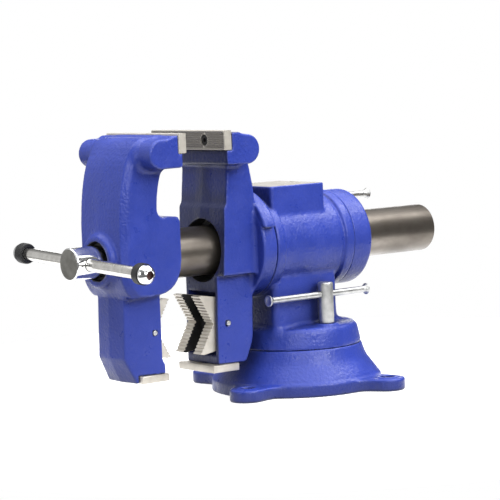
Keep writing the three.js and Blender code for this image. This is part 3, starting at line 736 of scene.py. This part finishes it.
REAR_NOSE, REAR_NOSE_R = (-100.5, 254.7), 14.7
REAR_HORN = rounded([
    (REAR_FACE + 3, 240.5, 3), *arc(REAR_NOSE, REAR_NOSE_R, -90, 78, 16),
    (-107.2, 270.6, 2), (-110.5, 272.3, 2), (REAR_SEAT + GAP, 272.3, 1),
    (REAR_SEAT + GAP, INSERT_LOW - GAP, 0), (REAR_FACE + 3, INSERT_LOW - GAP, 0.8),
], 1)
REAR_NECK_FRONT = rounded([
    (-60, 256, 0), (-110.6, 256, 0), (-110.9, 238, 2), (-114.2, 201, 1), (-117, 196, 1),
    (-118, 168, 2), (-120.6, 128, 0), (-60, 128, 0),
], 1)
REAR_NECK_BACK = rounded([
    (-140, 256, 0), (-140, 127.5, 0), (-77, 127.5, 2), (-75.5, 190, 4), (-77.5, 215, 6), (-82.5, 240, 4),
    (-92, 256, 0),
], 2)
REAR_COLUMN = rounded([
    (-119.6, 140, 0), (-119.6, 106, 6), (-122, 60, 6), (-122, COLUMN_LOW, 1),
    (-88.5, COLUMN_LOW, 3), (-79, 60, 6), (-77, 110, 4), (-77, 140, 0),
], 2)
COUNTERBORE_R = 32


def rear_jaw(x, y, z):
    side = np.abs(x)
    horn = meet(1.3, outline_field(REAR_HORN, y, z), side - JAW_HALF)
    # The crease in the middle of the neck's face, 14 mm wide on each side.
    front = outline_field(REAR_NECK_FRONT, y - 0.10 * np.minimum(side, 14), z)
    neck = meet(1.4, outline_field(REAR_NECK_BACK, y, z), side - NECK_HALF, front)
    flank = (side - COLUMN_HALF + 0.12 * np.maximum(-88 - y, 0)) / 1.01
    column = meet(1.2, flank, outline_field(REAR_COLUMN, y, z), -(y + 122.5 - 0.05 * side))
    radius = from_slide(x, z)
    flange = meet(1.8, radius - FLANGE_R, slab(y, FLANGE_FRONT, FLANGE_BACK))
    shroud = meet(1.6, radius - SHROUD_R, slab(y, FLANGE_FRONT, FLANGE_BACK - 3), AXIS_Z + 22 - z)
    body = fuse(2.5, fuse(5, fuse(1.5, fuse(7, horn, neck), column), flange), shroud)
    counterbore = meet(0, radius - COUNTERBORE_R, y + 100)
    return machined_jaw(
        body, x, y, z, REAR_SEAT, REAR_PIPE_Y, -1, counterbore, radius - TUBE_R - GAP,
    )


RING = rounded([
    (0, SEAM_Z + GAP, 0), (68.6, SEAM_Z + GAP, 1.2), (68.2, SEAM_Z + 4, 2), (65.3, 63.2, 3),
    (62.6, 66.8, 3), (48, RING_TOP, 4), (0, RING_TOP, 0),
], 2)
REAR_FOOT_R = 17
REAR_FOOT = plain([
    (PEDESTAL_Y[1] - 4, 60), (PEDESTAL_Y[1] + REAR_FOOT_R, 60),
    *arc((PEDESTAL_Y[1] + REAR_FOOT_R, RING_TOP - 1 + REAR_FOOT_R), REAR_FOOT_R, 270, 180),
    (PEDESTAL_Y[1] - 4, RING_TOP - 1 + REAR_FOOT_R),
])


def by_both_locks(x, y, radius):
    """The distance from two upright rods where the base lock bolts stand."""
    return np.minimum(upright(x, y, (LOCK_X, LOCK_Y), radius), upright(x, y, (-LOCK_X, -LOCK_Y), radius))


def swivel_housing(x, y, z):
    side = np.abs(x)
    ring = outline_field(RING, np.hypot(x, y), z)
    plan = meet(7, side - NECK_HALF, slab(y, *PEDESTAL_Y))
    pedestal = meet(0, plan, slab(z, 60, AXIS_Z - 20))
    foot = meet(4, outline_field(REAR_FOOT, y, z), side - NECK_HALF + 5)
    radius = from_slide(x, z)
    barrel = meet(1.0, radius - BARREL_R, slab(y, BARREL_FRONT + 2, BARREL_REAR))
    front_ring = meet(1.8, radius - FLANGE_R, slab(y, BARREL_FRONT, FRONT_RING_BACK))
    rear_ring = meet(1.2, radius - BARREL_R - 1.6, slab(y, REAR_RING_FRONT, BARREL_REAR))
    anvil_plan = meet(4, side - ANVIL_HALF, slab(y, *ANVIL_Y))
    anvil = meet(1.2, anvil_plan, slab(z, AXIS_Z + 20, ANVIL_TOP))
    along = x * math.cos(HEAD_LOCK_ANGLE) + (z - AXIS_Z) * math.sin(HEAD_LOCK_ANGLE)
    across = -x * math.sin(HEAD_LOCK_ANGLE) + (z - AXIS_Z) * math.cos(HEAD_LOCK_ANGLE)
    from_lock = np.hypot(across, y - HEAD_LOCK_Y)
    lug = meet(1.5, from_lock - 12.5, slab(along, 35, BARREL_R + 3.5))
    pads = meet(1.2, by_both_locks(x, y, 12), slab(z, 60, RING_TOP + 0.5))
    lower = fuse(2.5, fuse(4, fuse(5, ring, pedestal), foot), pads)
    upper = fuse(0.8, fuse(0.8, fuse(1.5, barrel, anvil), front_ring), rear_ring)
    body = fuse(4, fuse(1.8, lower, upper), lug)
    groove = np.hypot(radius - BARREL_R - 0.5, y - REAR_RING_FRONT + 2.2) - 1.7
    lock_hole = meet(0, from_lock - 6.2, 20 - along)
    bolt_holes = meet(0, by_both_locks(x, y, 6.1), z - 90)
    pivot = meet(0, np.hypot(x, y) - PIVOT_HOLE_R, z - 64)
    return carve(0.4, body, radius - SLEEVE_R - 0.5, groove, lock_hole, bolt_holes, pivot)


BELL = rounded([
    (0, 0, 0), (FLANGE_LOW_R, 0, 0), (FLANGE_LOW_R - 1, FLANGE_THICK - 0.4, 1.5), (84.7, 16.8, 2),
    (74.6, 30.2, 5), (71.8, 36.6, 4), (69.0, SEAM_Z, 1.4), (0, SEAM_Z, 0),
], 2)
UNDERSIDE = [(0, -5), (77, -5), (77, 6), (64, 17), (0, 17)]
PIVOT_HOLE_R = 12.4


def base_casting(x, y, z):
    radius = np.hypot(x, y)
    bell = outline_field(BELL, radius, z)
    plan = radius - FLANGE_LOW_R
    from_ears = []
    for k in range(4):
        angle = EAR_ANGLE + k * math.pi / 2
        centre = (EAR_CIRCLE_R * math.cos(angle), EAR_CIRCLE_R * math.sin(angle))
        from_ears.append(upright(x, y, centre, 0))
        plan = fuse(24, plan, from_ears[-1] - EAR_R)
    plate = meet(2.2, plan, slab(z, 0, FLANGE_THICK))
    from_ear = np.minimum.reduce(from_ears)
    rim = meet(0.6, from_ear - EAR_HOLE_R - 3.5, slab(z, 5, FLANGE_THICK + 0.9))
    body = meet(0.4, fuse(0.8, fuse(2.5, bell, plate), rim), -z)
    underside = carve(3, outline_field(UNDERSIDE, radius, z), radius - 22)
    body = carve(1.5, body, underside)
    slot_r = math.hypot(LOCK_X, LOCK_Y)
    neck = meet(0, slab(radius, slot_r - 6.6, slot_r + 6.6), 36 - z)
    wide = meet(0, slab(radius, slot_r - 11.8, slot_r + 11.8), slab(z, 24.5, 37.9))
    entry = meet(0, upright(x, y, (0, slot_r), 13), z - 27)
    pivot = meet(0, radius - PIVOT_HOLE_R, 20 - z)
    body = carve(0.4, body, neck, wide, entry, pivot)
    return carve(0.7, body, from_ear - EAR_HOLE_R)


def in_head_recess(centre, normal):
    """The counterbore round the tube, the bore behind it and the pocket's end over the pipe jaw, whose
    faces take black as painted shade.
    """
    return centre.y < -99 and from_slide(centre.x, centre.z) < COUNTERBORE_R + 0.3


def in_hub_recess(centre, normal):
    """The recess that the hub turns in, and the bore behind it, whose faces take black as painted shade."""
    return centre.y < TUBE_FRONT and from_slide(centre.x, centre.z) < HUB_R + 4.2 and centre.y > -246


def on_anvil(centre, normal):
    return centre.z > ANVIL_TOP - 0.15 and normal.z > 0.98


def build_castings():
    front_box = (-JAW_HALF, -247, 30), (JAW_HALF, -170, 273)
    rear_box = (-JAW_HALF, -128, 38), (JAW_HALF, FLANGE_BACK, 273)
    housing_box, base_box = [(low_mm(n), high_mm(n)) for n in ("swivel_housing", "base_casting")]
    for name, node, body, field, box, step, paint, steel_or_shade, where in (
        ("front_jaw_casting", "front_jaw", "slide", front_jaw, front_box, 1.5, BLUE, DARK, in_hub_recess),
        ("rear_jaw_casting", "rear_jaw", "head", rear_jaw, rear_box, 1.5, SHADED_BLUE, DARK, in_head_recess),
        ("swivel_housing_casting", "swivel_housing", "swivel", swivel_housing, housing_box, 1.5, BLUE,
         ANVIL_STEEL, on_anvil),
        ("round_base_casting", "base_casting", "base", base_casting, base_box, 1.6, BLUE, None, None),
    ):
        piece = make_object(name, *surface_nets(field, *box, step), paint, 60)
        # The anvil's top takes ground steel with no paint; the jaws' recesses take black as painted shade.
        if steel_or_shade:
            paint_where(piece, steel_or_shade, where)
        place(piece, body, "blue_paint", node)


# -------- jaw inserts and pipe jaws

SERRATION, SERRATION_DEEP = 1.9, 0.75
RIM_DEEP = 0.1


def serrated_insert(name, node, body, face_y, back_y):
    """A hardened insert whose gripping face is cut into rows of small pyramids."""
    inward = 1 if back_y > face_y else -1
    ease = 0.6
    middle_z, half_z = (INSERT_LOW + JAW_TOP) / 2, (JAW_TOP - INSERT_LOW) / 2
    columns, rows = round(2 * JAW_HALF / SERRATION), round(2 * half_z / SERRATION)
    across = np.linspace(ease - JAW_HALF, JAW_HALF - ease, columns + 1)
    up = np.linspace(ease - half_z, half_z - ease, rows + 1)
    vertices, faces, number = [], [], {}

    def vertex(x, y, z):
        vertices.append((x, y, middle_z + z))
        return len(vertices) - 1

    for i, x in enumerate(across):
        for k, z in enumerate(up):
            deep = RIM_DEEP if i in (0, columns) or k in (0, rows) else SERRATION_DEEP
            number[i, k] = vertex(x, face_y + inward * deep, z)
    for i in range(columns):
        for k in range(rows):
            tip = vertex((across[i] + across[i + 1]) / 2, face_y, (up[k] + up[k + 1]) / 2)
            ring = [number[i, k], number[i + 1, k], number[i + 1, k + 1], number[i, k + 1]]
            faces += [[ring[n], ring[(n + 1) % 4], tip] for n in range(4)]
    border = [(i, 0) for i in range(columns)] + [(columns, k) for k in range(rows)]
    border += [(i, rows) for i in range(columns, 0, -1)] + [(0, k) for k in range(rows, 0, -1)]
    loops = [[number[point] for point in border]]
    full = (JAW_HALF / (JAW_HALF - ease), half_z / (half_z - ease))
    levels = [
        (face_y + inward * (RIM_DEEP + ease), full), (back_y - inward * ease, full), (back_y, (1, 1)),
    ]
    for y, (wide, tall) in levels:
        loops.append([vertex(across[i] * wide, y, up[k] * tall) for i, k in border])
    faces += [*bands(loops), loops[-1]]
    piece = make_object(name, vertices, faces, GROUND, 25)
    tools = []
    for x in (-INSERT_SCREW_X, INSERT_SCREW_X):
        mouth, far = (x, face_y - inward * 5, INSERT_SCREW_Z), (x, back_y + inward * 5, INSERT_SCREW_Z)
        tools.append(drill(INSERT_HOLE_R, mouth, far))
        tools.append(drill(5.7, mouth, (x, face_y + inward * 5.5, INSERT_SCREW_Z), 48))
    cut(piece, *tools, smooth_angle=25)
    paint_where(
        piece, SERRATED,
        lambda centre, normal: abs(centre.y - face_y) < 0.7 and abs(normal.y) > 0.5,
    )
    place(piece, body, "ground_steel", node)


def socket_screw(name, node, body, head_top, head_low, end, head_r, shank_r, hex_r):
    """A cap screw from the top of its head to its end, with a hexagon socket and a chamfered rim."""
    start, stop = Vector(head_top), Vector(end)
    head_length = (Vector(head_low) - start).length
    length = (stop - start).length
    profile = [
        (0, 0), (head_r, 0, 0.5), (head_r, head_length, 0.2), (shank_r, head_length, 0.2),
        (shank_r, length, 0.6), (0, length),
    ]
    piece = turned(name, profile, start, stop, DARK, 40, 0.4)
    deep = 0.6 * head_length
    key = turned("key", [(0, -1), (hex_r, -1), (hex_r, deep), (0, deep + 0.8)], start, stop, DARK, 6)
    cut(piece, key)
    place(piece, body, "dark_steel", node)


def bottom_plate(name, node, body, screw_y):
    low, high = low_mm(node), high_mm(node)
    piece = ease_edges(block(name, low, high, GROUND), 0.7)
    tools = []
    for x in (-PLATE_SCREW_X, PLATE_SCREW_X):
        mouth = (x, screw_y, low[2] - 5)
        tools.append(drill(3.3, mouth, (x, screw_y, high[2] + 5)))
        tools.append(drill(6, mouth, (x, screw_y, low[2] + 3.6)))
    cut(piece, *tools)
    place(piece, body, "ground_steel", node)


TEETH = 9
TOOTH_DEEP = 1.2


def toothed(start, end, into):
    """A row of saw teeth from start to end, with their tips on that line and their roots into the jaw."""
    start, end = np.array(start, float), np.array(end, float)
    deep = np.array((into * TOOTH_DEEP, 0))
    corners = ((0, 0), (0.50, 0), (0.66, deep), (0.92, deep))
    return [
        tuple(start + (end - start) * (k + along) / TEETH + offset)
        for k in range(TEETH) for along, offset in corners
    ]


def pipe_outline(pin_y, tip_y, towards):
    """A pipe jaw from the side: a toothed V in front and a round back about its pin."""
    low, high = PIPE_PIN_Z - PIPE_V_HALF, PIPE_PIN_Z + PIPE_V_HALF
    vertex = (tip_y - towards * PIPE_V_DEEP, PIPE_PIN_Z)
    lower = toothed((tip_y, low), vertex, -towards)
    upper = toothed((tip_y, high), vertex, -towards)
    back = plain(arc((pin_y, PIPE_PIN_Z), PIPE_ARC_R, 90 + towards * 8, 90 + towards * 172, 28))
    shoulder_y = tip_y - towards * 4
    return [*lower, vertex, *upper[::-1], (shoulder_y, high + 1), *back, (shoulder_y, low - 1)]


def pin_drill(pin_y):
    return drill(PIN_HOLE_R, (-60, pin_y, PIPE_PIN_Z), (60, pin_y, PIPE_PIN_Z), 40)


def in_channel(centre, normal):
    return abs(centre.x) < CHANNEL_HALF + 0.35 and abs(normal.x) > 0.9


def rear_pipe_jaw():
    outline = pipe_outline(REAR_PIPE_Y, REAR_TIP_Y, -1)
    piece = prism("rear_pipe_jaw_block", outline, -PIPE_HALF, PIPE_HALF, GROUND)
    low, high = (-CHANNEL_HALF, REAR_TIP_Y - 9, 20), (CHANNEL_HALF, CHANNEL_FLOOR_Y, 140)
    cut(piece, block("channel", low, high, DARK), pin_drill(REAR_PIPE_Y))
    ease_edges(piece, 0.3, 1)
    # The channel's walls take black as painted shade.
    paint_where(piece, DARK, in_channel)
    place(piece, "rear_pipe", "ground_steel", "rear_pipe_jaw")


def channel_shade_lining():
    """The floor of the rear pipe jaw's channel, a skin set into its back and walls, black as painted shade.
    """
    floor_y = CHANNEL_FLOOR_Y - 0.05
    half_x, half_z = CHANNEL_HALF - 0.05, PIPE_V_HALF - 6
    low, high = (-half_x, floor_y - 0.6, PIPE_PIN_Z - half_z), (half_x, floor_y, PIPE_PIN_Z + half_z)
    piece = ease_edges(block("rear_pipe_channel_floor", low, high, DARK), 0.2, 1)
    place(piece, "rear_pipe", "dark_steel")


def front_pipe_jaw():
    """The blade, and a cheek on each side of it that fills the pocket's width."""
    blade = pipe_outline(FRONT_PIPE_Y, FRONT_TIP_Y, 1)
    back = plain(arc((FRONT_PIPE_Y, PIPE_PIN_Z), 24.2, 88, 272, 28))
    cheek = [*back, (-198.6, PIPE_PIN_Z - 24), (-198.6, PIPE_PIN_Z + 24)]
    for name, outline, low, high, nodes in (
        ("front_pipe_jaw_blade", blade, -BLADE_HALF, BLADE_HALF, ["front_pipe_jaw"]),
        ("front_pipe_cheek_right", cheek, BLADE_HALF, PIPE_HALF, []),
        ("front_pipe_cheek_left", cheek, -PIPE_HALF, -BLADE_HALF, []),
    ):
        piece = cut(prism(name, outline, low, high, GROUND), pin_drill(FRONT_PIPE_Y))
        place(ease_edges(piece, 0.3, 1), "front_pipe", "ground_steel", *nodes)


def pivot_pins():
    for node, body in (("rear_pipe_jaw_pin", "head"), ("front_pipe_jaw_pin", "slide")):
        _, y, z = middle_mm(node)
        start, end = (low_mm(node)[0], y, z), (high_mm(node)[0], y, z)
        place(shaft(f"{node}_domed", 2.6, start, end, ZINC, 1.1, 40), body, "zinc_plate", node)


def cap_screws(label, body, half_x, places, **radii):
    """A jaw's two like screws, from (y, z) of the head's top, the head's underside and the end."""
    for n, x in ((1, -half_x), (2, half_x)):
        top, head_low, end = [(x, y, z) for y, z in places]
        socket_screw(f"{label}_cap_screw_{n}", f"{label}_screw_{n}", body, top, head_low, end, **radii)


def build_jaw_fittings():
    jaws = (
        ("rear", "head", REAR_FACE, REAR_SEAT, -112), ("front", "slide", FRONT_FACE, FRONT_SEAT, -200),
    )
    for label, body, face_y, seat_y, _ in jaws:
        serrated_insert(f"{label}_insert_serrated", f"{label}_jaw_insert", body, face_y, seat_y)
    for label, body, face_y, seat_y, _ in jaws:
        inward = 1 if seat_y > face_y else -1
        places = [(face_y + inward * deep, INSERT_SCREW_Z) for deep in (1.2, 5.2, 24)]
        cap_screws(f"{label}_insert", body, INSERT_SCREW_X, places, head_r=5.3, shank_r=4, hex_r=2.6)
    for label, body, _, _, screw_y in jaws:
        plate = f"{label}_bottom_plate"
        low = low_mm(plate)[2]
        bottom_plate(f"{plate}_ground", plate, body, screw_y)
        places = [(screw_y, z) for z in (low + 0.4, low + 3.3, COLUMN_LOW + 8)]
        cap_screws(f"{label}_plate", body, PLATE_SCREW_X, places, head_r=5.5, shank_r=3, hex_r=2.3)
    rear_pipe_jaw()
    channel_shade_lining()
    front_pipe_jaw()
    pivot_pins()


# -------- head, slide and screw

def on_slide(name, profile, ease, material, sides):
    """A hollow piece turned about the slide's axis, from (radius, y) points."""
    return turned(name, profile, (0, 0, AXIS_Z), (0, 1, AXIS_Z), material, sides, ease, closed=True)


def head_sleeve():
    bore, front = TUBE_R + GAP, FLANGE_BACK - 4
    profile = [(bore, front), (SLEEVE_R, front), (SLEEVE_R, SLEEVE_END), (bore, SLEEVE_END)]
    piece = on_slide("head_sleeve", profile, 0.8, DARK, 96)
    cut(piece, drill(5.3, (0, -45, AXIS_Z - 60), (0, -45, AXIS_Z - 20)))
    place(piece, "head", "dark_steel")


def rear_collar():
    bore, lip, seat_y = SLEEVE_R + GAP, TUBE_R + 1.5, SLEEVE_END + GAP
    profile = [
        (bore, COLLAR_FRONT, 0.5), (COLLAR_R, COLLAR_FRONT, 1.2), (COLLAR_R, COLLAR_REAR - 2, 3),
        (COLLAR_R - 2, COLLAR_REAR, 3), (TUBE_R + 4, COLLAR_REAR, 1), (lip, COLLAR_REAR - 1.5, 0.8),
        (lip, seat_y, 0.4), (bore, seat_y, 0.4),
    ]
    piece = on_slide("rear_collar_turned", profile, 1, BLUE, 128)
    tools = []
    for n, angle in ((1, math.radians(-90)), (2, math.radians(180))):
        top, head_low, end, inner, outer = [
            (distance * math.cos(angle), 57, AXIS_Z + distance * math.sin(angle))
            for distance in (COLLAR_R - 1, COLLAR_R - 4, SLEEVE_R + GAP, 30, 60)
        ]
        tools.append(drill(4.3, inner, outer, 40))
        socket_screw(
            f"collar_set_screw_{n}", f"collar_screw_{n}", "head", top, head_low, end, 4, 4, 2.3,
        )
    cut(piece, *tools)
    place(piece, "head", "blue_paint", "rear_collar")


def slide_tube():
    profile = [
        (TUBE_BORE_R, TUBE_FRONT, 0.6), (TUBE_R, TUBE_FRONT), (TUBE_R, TUBE_END, 1.6),
        (TUBE_BORE_R, TUBE_END),
    ]
    piece = on_slide("slide_tube_turned", profile, 1, TURNED, 128)
    cut(piece, block("slot", (-5.6, -126, AXIS_Z - 40), (5.6, 50, AXIS_Z), DARK))
    place(piece, "slide", "turned_steel", "slide_tube")


THREAD_DEEP = 2
THREAD_STEEPNESS = 2.2


def thread():
    """The lead screw's thread: a ring of points for each millimetre along it, plain at both ends."""
    sides, step = 40, 1
    start = HUB_BACK + 22
    stations = [
        HUB_BACK + GAP, start - 0.5, *np.arange(start, SCREW_END - 4, step), SCREW_END - 3.5, SCREW_END,
    ]
    last = len(stations) - 1
    vertices = []
    for n, y in enumerate(stations):
        for i in range(sides):
            phase = (y / SCREW_PITCH - i / sides) % 1
            flank = min(abs(phase - 0.5) * 2 * THREAD_STEEPNESS, 1)
            deep = 0.2 if n < 2 or n > last - 2 else THREAD_DEEP * (1 - flank ** 3)
            radius = SCREW_R - deep - (1.2 if n == last else 0)
            angle = 2 * math.pi * i / sides
            vertices.append((radius * math.cos(angle), y, AXIS_Z + radius * math.sin(angle)))
    rings = [list(range(n * sides, (n + 1) * sides)) for n in range(len(stations))]
    faces = [*bands(rings), rings[0], rings[-1]]
    place(make_object("lead_screw_thread", vertices, faces, DARK, 50), "screw", "dark_steel")


def along_handle(distance):
    return (distance * math.cos(HANDLE_TILT), HANDLE_Y, AXIS_Z - distance * math.sin(HANDLE_TILT))


def screw_hub():
    """The chromed hub with its cross hole, a faced front and a small pin hole beside the handle."""
    length = HUB_BACK - HUB_FRONT
    profile = [(0, 0), (HUB_R - 0.9, 0, 0.3), (HUB_R, 0.9), (HUB_R, length, 0.6), (0, length)]
    front, back = (0, HUB_FRONT, AXIS_Z), (0, HUB_BACK, AXIS_Z)
    piece = turned("screw_hub", profile, front, back, CHROME, 96, 0.5)
    pin_y = HANDLE_Y - 9.6
    cut(
        piece, drill(HANDLE_R + 0.5, along_handle(-60), along_handle(60)),
        drill(1.1, (8, pin_y, AXIS_Z - 0.5), (30, pin_y, AXIS_Z - 1.5), 20),
    )
    paint_where(piece, FACED, lambda centre, normal: normal.y < -0.98)
    place(piece, "screw", "chrome", "lead_screw")


def ball_arc(radius, start, end, steps=20):
    """Points of (radius, height) round a ball, by the angle in degrees from its inner pole."""
    angles = np.radians(np.linspace(start, end, steps))
    return [(radius * math.sin(a), -radius * math.cos(a)) for a in angles]


def handle_ball(label, centre, outward):
    """A polished ball, bored for the bar behind and socketed in its flat front."""
    bore = HANDLE_R + GAP
    start = math.degrees(math.asin(bore / BALL_R))
    socket = [(4.2, 8.2), (3.9, 7.8), (3.9, 4.4), (3.1, 4.0), (0, 4.0)]
    profile = [(0, -5.7), (bore, -5.7), *ball_arc(BALL_R, start, 151), *socket]
    piece = turned(f"handle_ball_{label}_polished", profile, centre, outward, CHROME)
    middle = Vector(centre)
    axis = (Vector(outward) - middle).normalized()

    def in_socket(point, normal):
        depth = (point - middle).dot(axis)
        return 3.5 < depth < 8.1 and (point - middle - axis * depth).length < 4
    paint_where(piece, RUSTED, in_socket)
    place(piece, "handle", "chrome", f"handle_ball_{label}")


def handle_buffer(label, centre, outward):
    """A rubber ring that the ball sits in."""
    seat_r, bore, front = BALL_R + GAP, HANDLE_R + GAP, -0.5
    mouth = math.degrees(math.acos(-front / seat_r))
    low = math.degrees(math.asin(bore / seat_r))
    outside = rounded([
        (bore, -BUFFER_LONG, 0), (BUFFER_R, -BUFFER_LONG, 2.4), (BUFFER_R, front, 0.25),
        (seat_r * math.sin(math.radians(mouth)), front, 0),
    ], 1, closed=False)
    profile = outside + ball_arc(seat_r, mouth - 2, low, 10)
    ring = turned(f"handle_buffer_{label}_ring", profile, centre, outward, RUBBER, closed=True)
    place(ring, "handle", "rubber", f"handle_buffer_{label}")


def handle():
    reach = HANDLE_HALF - 6
    start, end = along_handle(-reach), along_handle(reach)
    bar = shaft("handle_bar_plated", HANDLE_R, start, end, BAR_CHROME, 0.6, 72)
    place(bar, "handle", "chrome", "handle_bar")
    for label, side in (("near", 1), ("far", -1)):
        centre, outward = along_handle(side * HANDLE_HALF), along_handle(side * (HANDLE_HALF + 1))
        handle_ball(label, centre, outward)
        handle_buffer(label, centre, outward)


def build_slide():
    head_sleeve()
    rear_collar()
    slide_tube()
    thread()
    screw_hub()
    handle()


# -------- lock bolts and their bars

def sliding_bar(name, node, body):
    """A zinc bar with an upset, dimpled flare at each end."""
    x, _, z = middle_mm(node)
    low_y, high_y = low_mm(node)[1], high_mm(node)[1]
    flare = 4.9
    half = [
        (0, 0.5, 0), (2.6, 0.4, 0.5), (3.8, 0, 0.4), (FLARE_R - 0.3, 0, 0.3), (FLARE_R, 0.7, 0.4),
        (BAR_R + 1, 3, 1.6), (BAR_R, flare, 1),
    ]
    other = [(radius, high_y - low_y - height, ease) for radius, height, ease in half[::-1]]
    piece = turned(name, half + other, (x, low_y, z), (x, high_y, z), ZINC, 48, 0.5)
    place(piece, body, "zinc_plate", node)


def lock_bolt(name, node, body, foot, top, shank_end, bar_at):
    """A round-headed bolt with a cross hole for its bar, chamfered at the top."""
    head = (Vector(top) - Vector(foot)).length
    shank = (Vector(foot) - Vector(shank_end)).length
    profile = [
        (0, -shank), (5.8, -shank, 0.8), (5.8, 0, 0.3), (LOCK_HEAD_R, 0, 0.6),
        (LOCK_HEAD_R, head - 1.2, 0.8), (LOCK_HEAD_R - 1.2, head, 0.8), (0, head),
    ]
    piece = turned(name, profile, foot, top, ZINC, 64, 0.5)
    x, y, z = bar_at
    cut(piece, drill(BAR_R + 0.35, (x, y - 20, z), (x, y + 20, z), 40))
    place(piece, body, "zinc_plate", node)


def build_locks():
    for label, x, y in (("right", LOCK_X, LOCK_Y), ("left", -LOCK_X, -LOCK_Y)):
        bolt, bar = f"lock_bolt_{label}", f"lock_bar_{label}"
        foot, top, shank_end, bar_at = [(x, y, z) for z in (RING_TOP + 0.8, LOCK_TOP, LOCK_LOW, BAR_Z)]
        lock_bolt(f"{bolt}_turned", bolt, f"lock_{label}", foot, top, shank_end, bar_at)
        sliding_bar(f"{bar}_turned", bar, f"lock_{label}_bar")
    foot, top, shank_end, bar_at = [
        (distance * math.cos(HEAD_LOCK_ANGLE), HEAD_LOCK_Y, AXIS_Z + distance * math.sin(HEAD_LOCK_ANGLE))
        for distance in (BARREL_R + 3.8, HEAD_LOCK_TOP, 45, HEAD_BAR_R)
    ]
    lock_bolt("head_lock_bolt_turned", "head_lock_bolt", "head_lock", foot, top, shank_end, bar_at)
    sliding_bar("head_lock_bar_turned", "head_lock_bar", "head_lock_handle")


# -------- pieces kept from the CAD

def refinish_inner_pieces():
    """The small inner pieces keep their CAD shape and take a real finish."""
    dark = (
        "pivot_pin", "lock_nut_right", "lock_nut_left", "nut_stud", "thrust_washer",
        "screw_retaining_ring", "tube_set_screw",
    )
    for nodes, material in ((dark, DARK), (("spindle_nut", "head_lock_shoe"), BRONZE)):
        for node in nodes:
            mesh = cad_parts[node].data
            mesh.materials.clear()
            mesh.materials.append(material)


# -------- studio

def camera():
    data = bpy.data.cameras.new("camera")
    data.lens, data.sensor_width = 158.4, 36
    data.clip_start, data.clip_end = 0.05, 60
    eye = bpy.data.objects.new("camera", data)
    bpy.context.scene.collection.objects.link(eye)
    eye.location = (1.77614, -1.44266, 0.34887)
    tilt, roll, heading = 84.8913, 2.2815, 51.8001
    eye.rotation_euler = [math.radians(angle) for angle in (tilt, roll, heading)]
    bpy.context.scene.camera = eye


def softbox(name, place_at, aim, width, height, power):
    data = bpy.data.lights.new(name, "AREA")
    data.shape = "RECTANGLE"
    data.size, data.size_y = width, height
    data.energy = power
    lamp = bpy.data.objects.new(name, data)
    bpy.context.scene.collection.objects.link(lamp)
    direction = Vector(aim) - Vector(place_at)
    lamp.location = place_at
    lamp.rotation_euler = direction.to_track_quat("-Z", "Y").to_euler()


def white_surroundings():
    """White to the eye, and a studio to the object: dim walls, a soft ceiling and one white screen."""
    world = bpy.data.worlds.new("studio")
    bpy.context.scene.world = world
    sky = Wiring(world)
    where = sky.node("ShaderNodeTexCoord").outputs["Generated"]
    split = sky.node("ShaderNodeSeparateXYZ", {"Vector": where})
    height = sky.greys(
        split.outputs["Z"], (0.0, 0.05), (0.30, 0.10), (0.46, 0.22), (0.53, 0.13), (0.66, 0.12),
        (0.85, 0.30), (1.0, 0.42),
    )
    to_screen = (-0.83, -0.52, 0.2)
    nearness = sky.node("ShaderNodeVectorMath", {0: where, 1: to_screen}, operation="DOT_PRODUCT")
    screen = sky.greys(
        nearness.outputs["Value"], (0.0, 0.0), (0.80, 0.03), (0.90, 0.15), (0.95, 0.45), (1.0, 0.55),
    )
    both = sky.node(
        "ShaderNodeMix", {"Factor": 1, 6: height, 7: screen}, data_type="RGBA", blend_type="ADD",
    )
    lit = sky.node("ShaderNodeBackground", {"Color": both.outputs[2]})
    plain = sky.node("ShaderNodeBackground", {"Color": (1, 1, 1, 1)})
    camera_ray = sky.node("ShaderNodeLightPath").outputs["Is Camera Ray"]
    mix = sky.node("ShaderNodeMixShader", {
        "Fac": camera_ray, 1: lit.outputs["Background"], 2: plain.outputs["Background"],
    })
    sky.node("ShaderNodeOutputWorld", {"Surface": mix.outputs["Shader"]})


def floor():
    """A round pale floor, a hair under the base."""
    white = Finish("floor_white")
    for socket, value in (
        ("Base Color", (0.6, 0.6, 0.6, 1)), ("Roughness", 0.9), ("Specular IOR Level", 0.1),
        ("Emission Color", (1, 1, 1, 1)), ("Emission Strength", 0.82),
    ):
        white.feed(white.shader.inputs[socket], value)
    radius, sides = 560, 96
    angles = [2 * math.pi * n / sides for n in range(sides)]
    rim = [(radius * math.cos(a), radius * math.sin(a), -0.2) for a in angles]
    plane = make_object("floor", rim, [list(range(sides))], white.material)
    plane.visible_diffuse = False


def studio():
    camera()
    white_surroundings()
    aim = (0, -0.05, 0.14)
    softbox("ceiling", (0.0, 0.1, 1.6), (0, 0.1, 0), 2.8, 2.8, 48)
    softbox("over_the_barrel", (0.42, 1.05, 1.5), aim, 0.8, 0.8, 9)
    softbox("from_handle_side", (-0.3, -2.0, 0.6), aim, 0.8, 0.9, 6)
    softbox("from_the_front", (1.7, -1.1, 0.8), aim, 0.7, 0.7, 10)
    softbox("from_near_side", (1.7, 0.25, 1.1), aim, 0.9, 0.9, 21)
    softbox("low_behind", (-1.9, 1.5, 0.42), aim, 1.4, 0.35, 5)
    floor()
    view = bpy.context.scene.view_settings
    view.view_transform, view.look = "Standard", "None"
    view.exposure, view.gamma = 0, 1


studio()
build_castings()
build_jaw_fittings()
build_slide()
build_locks()
refinish_inner_pieces()
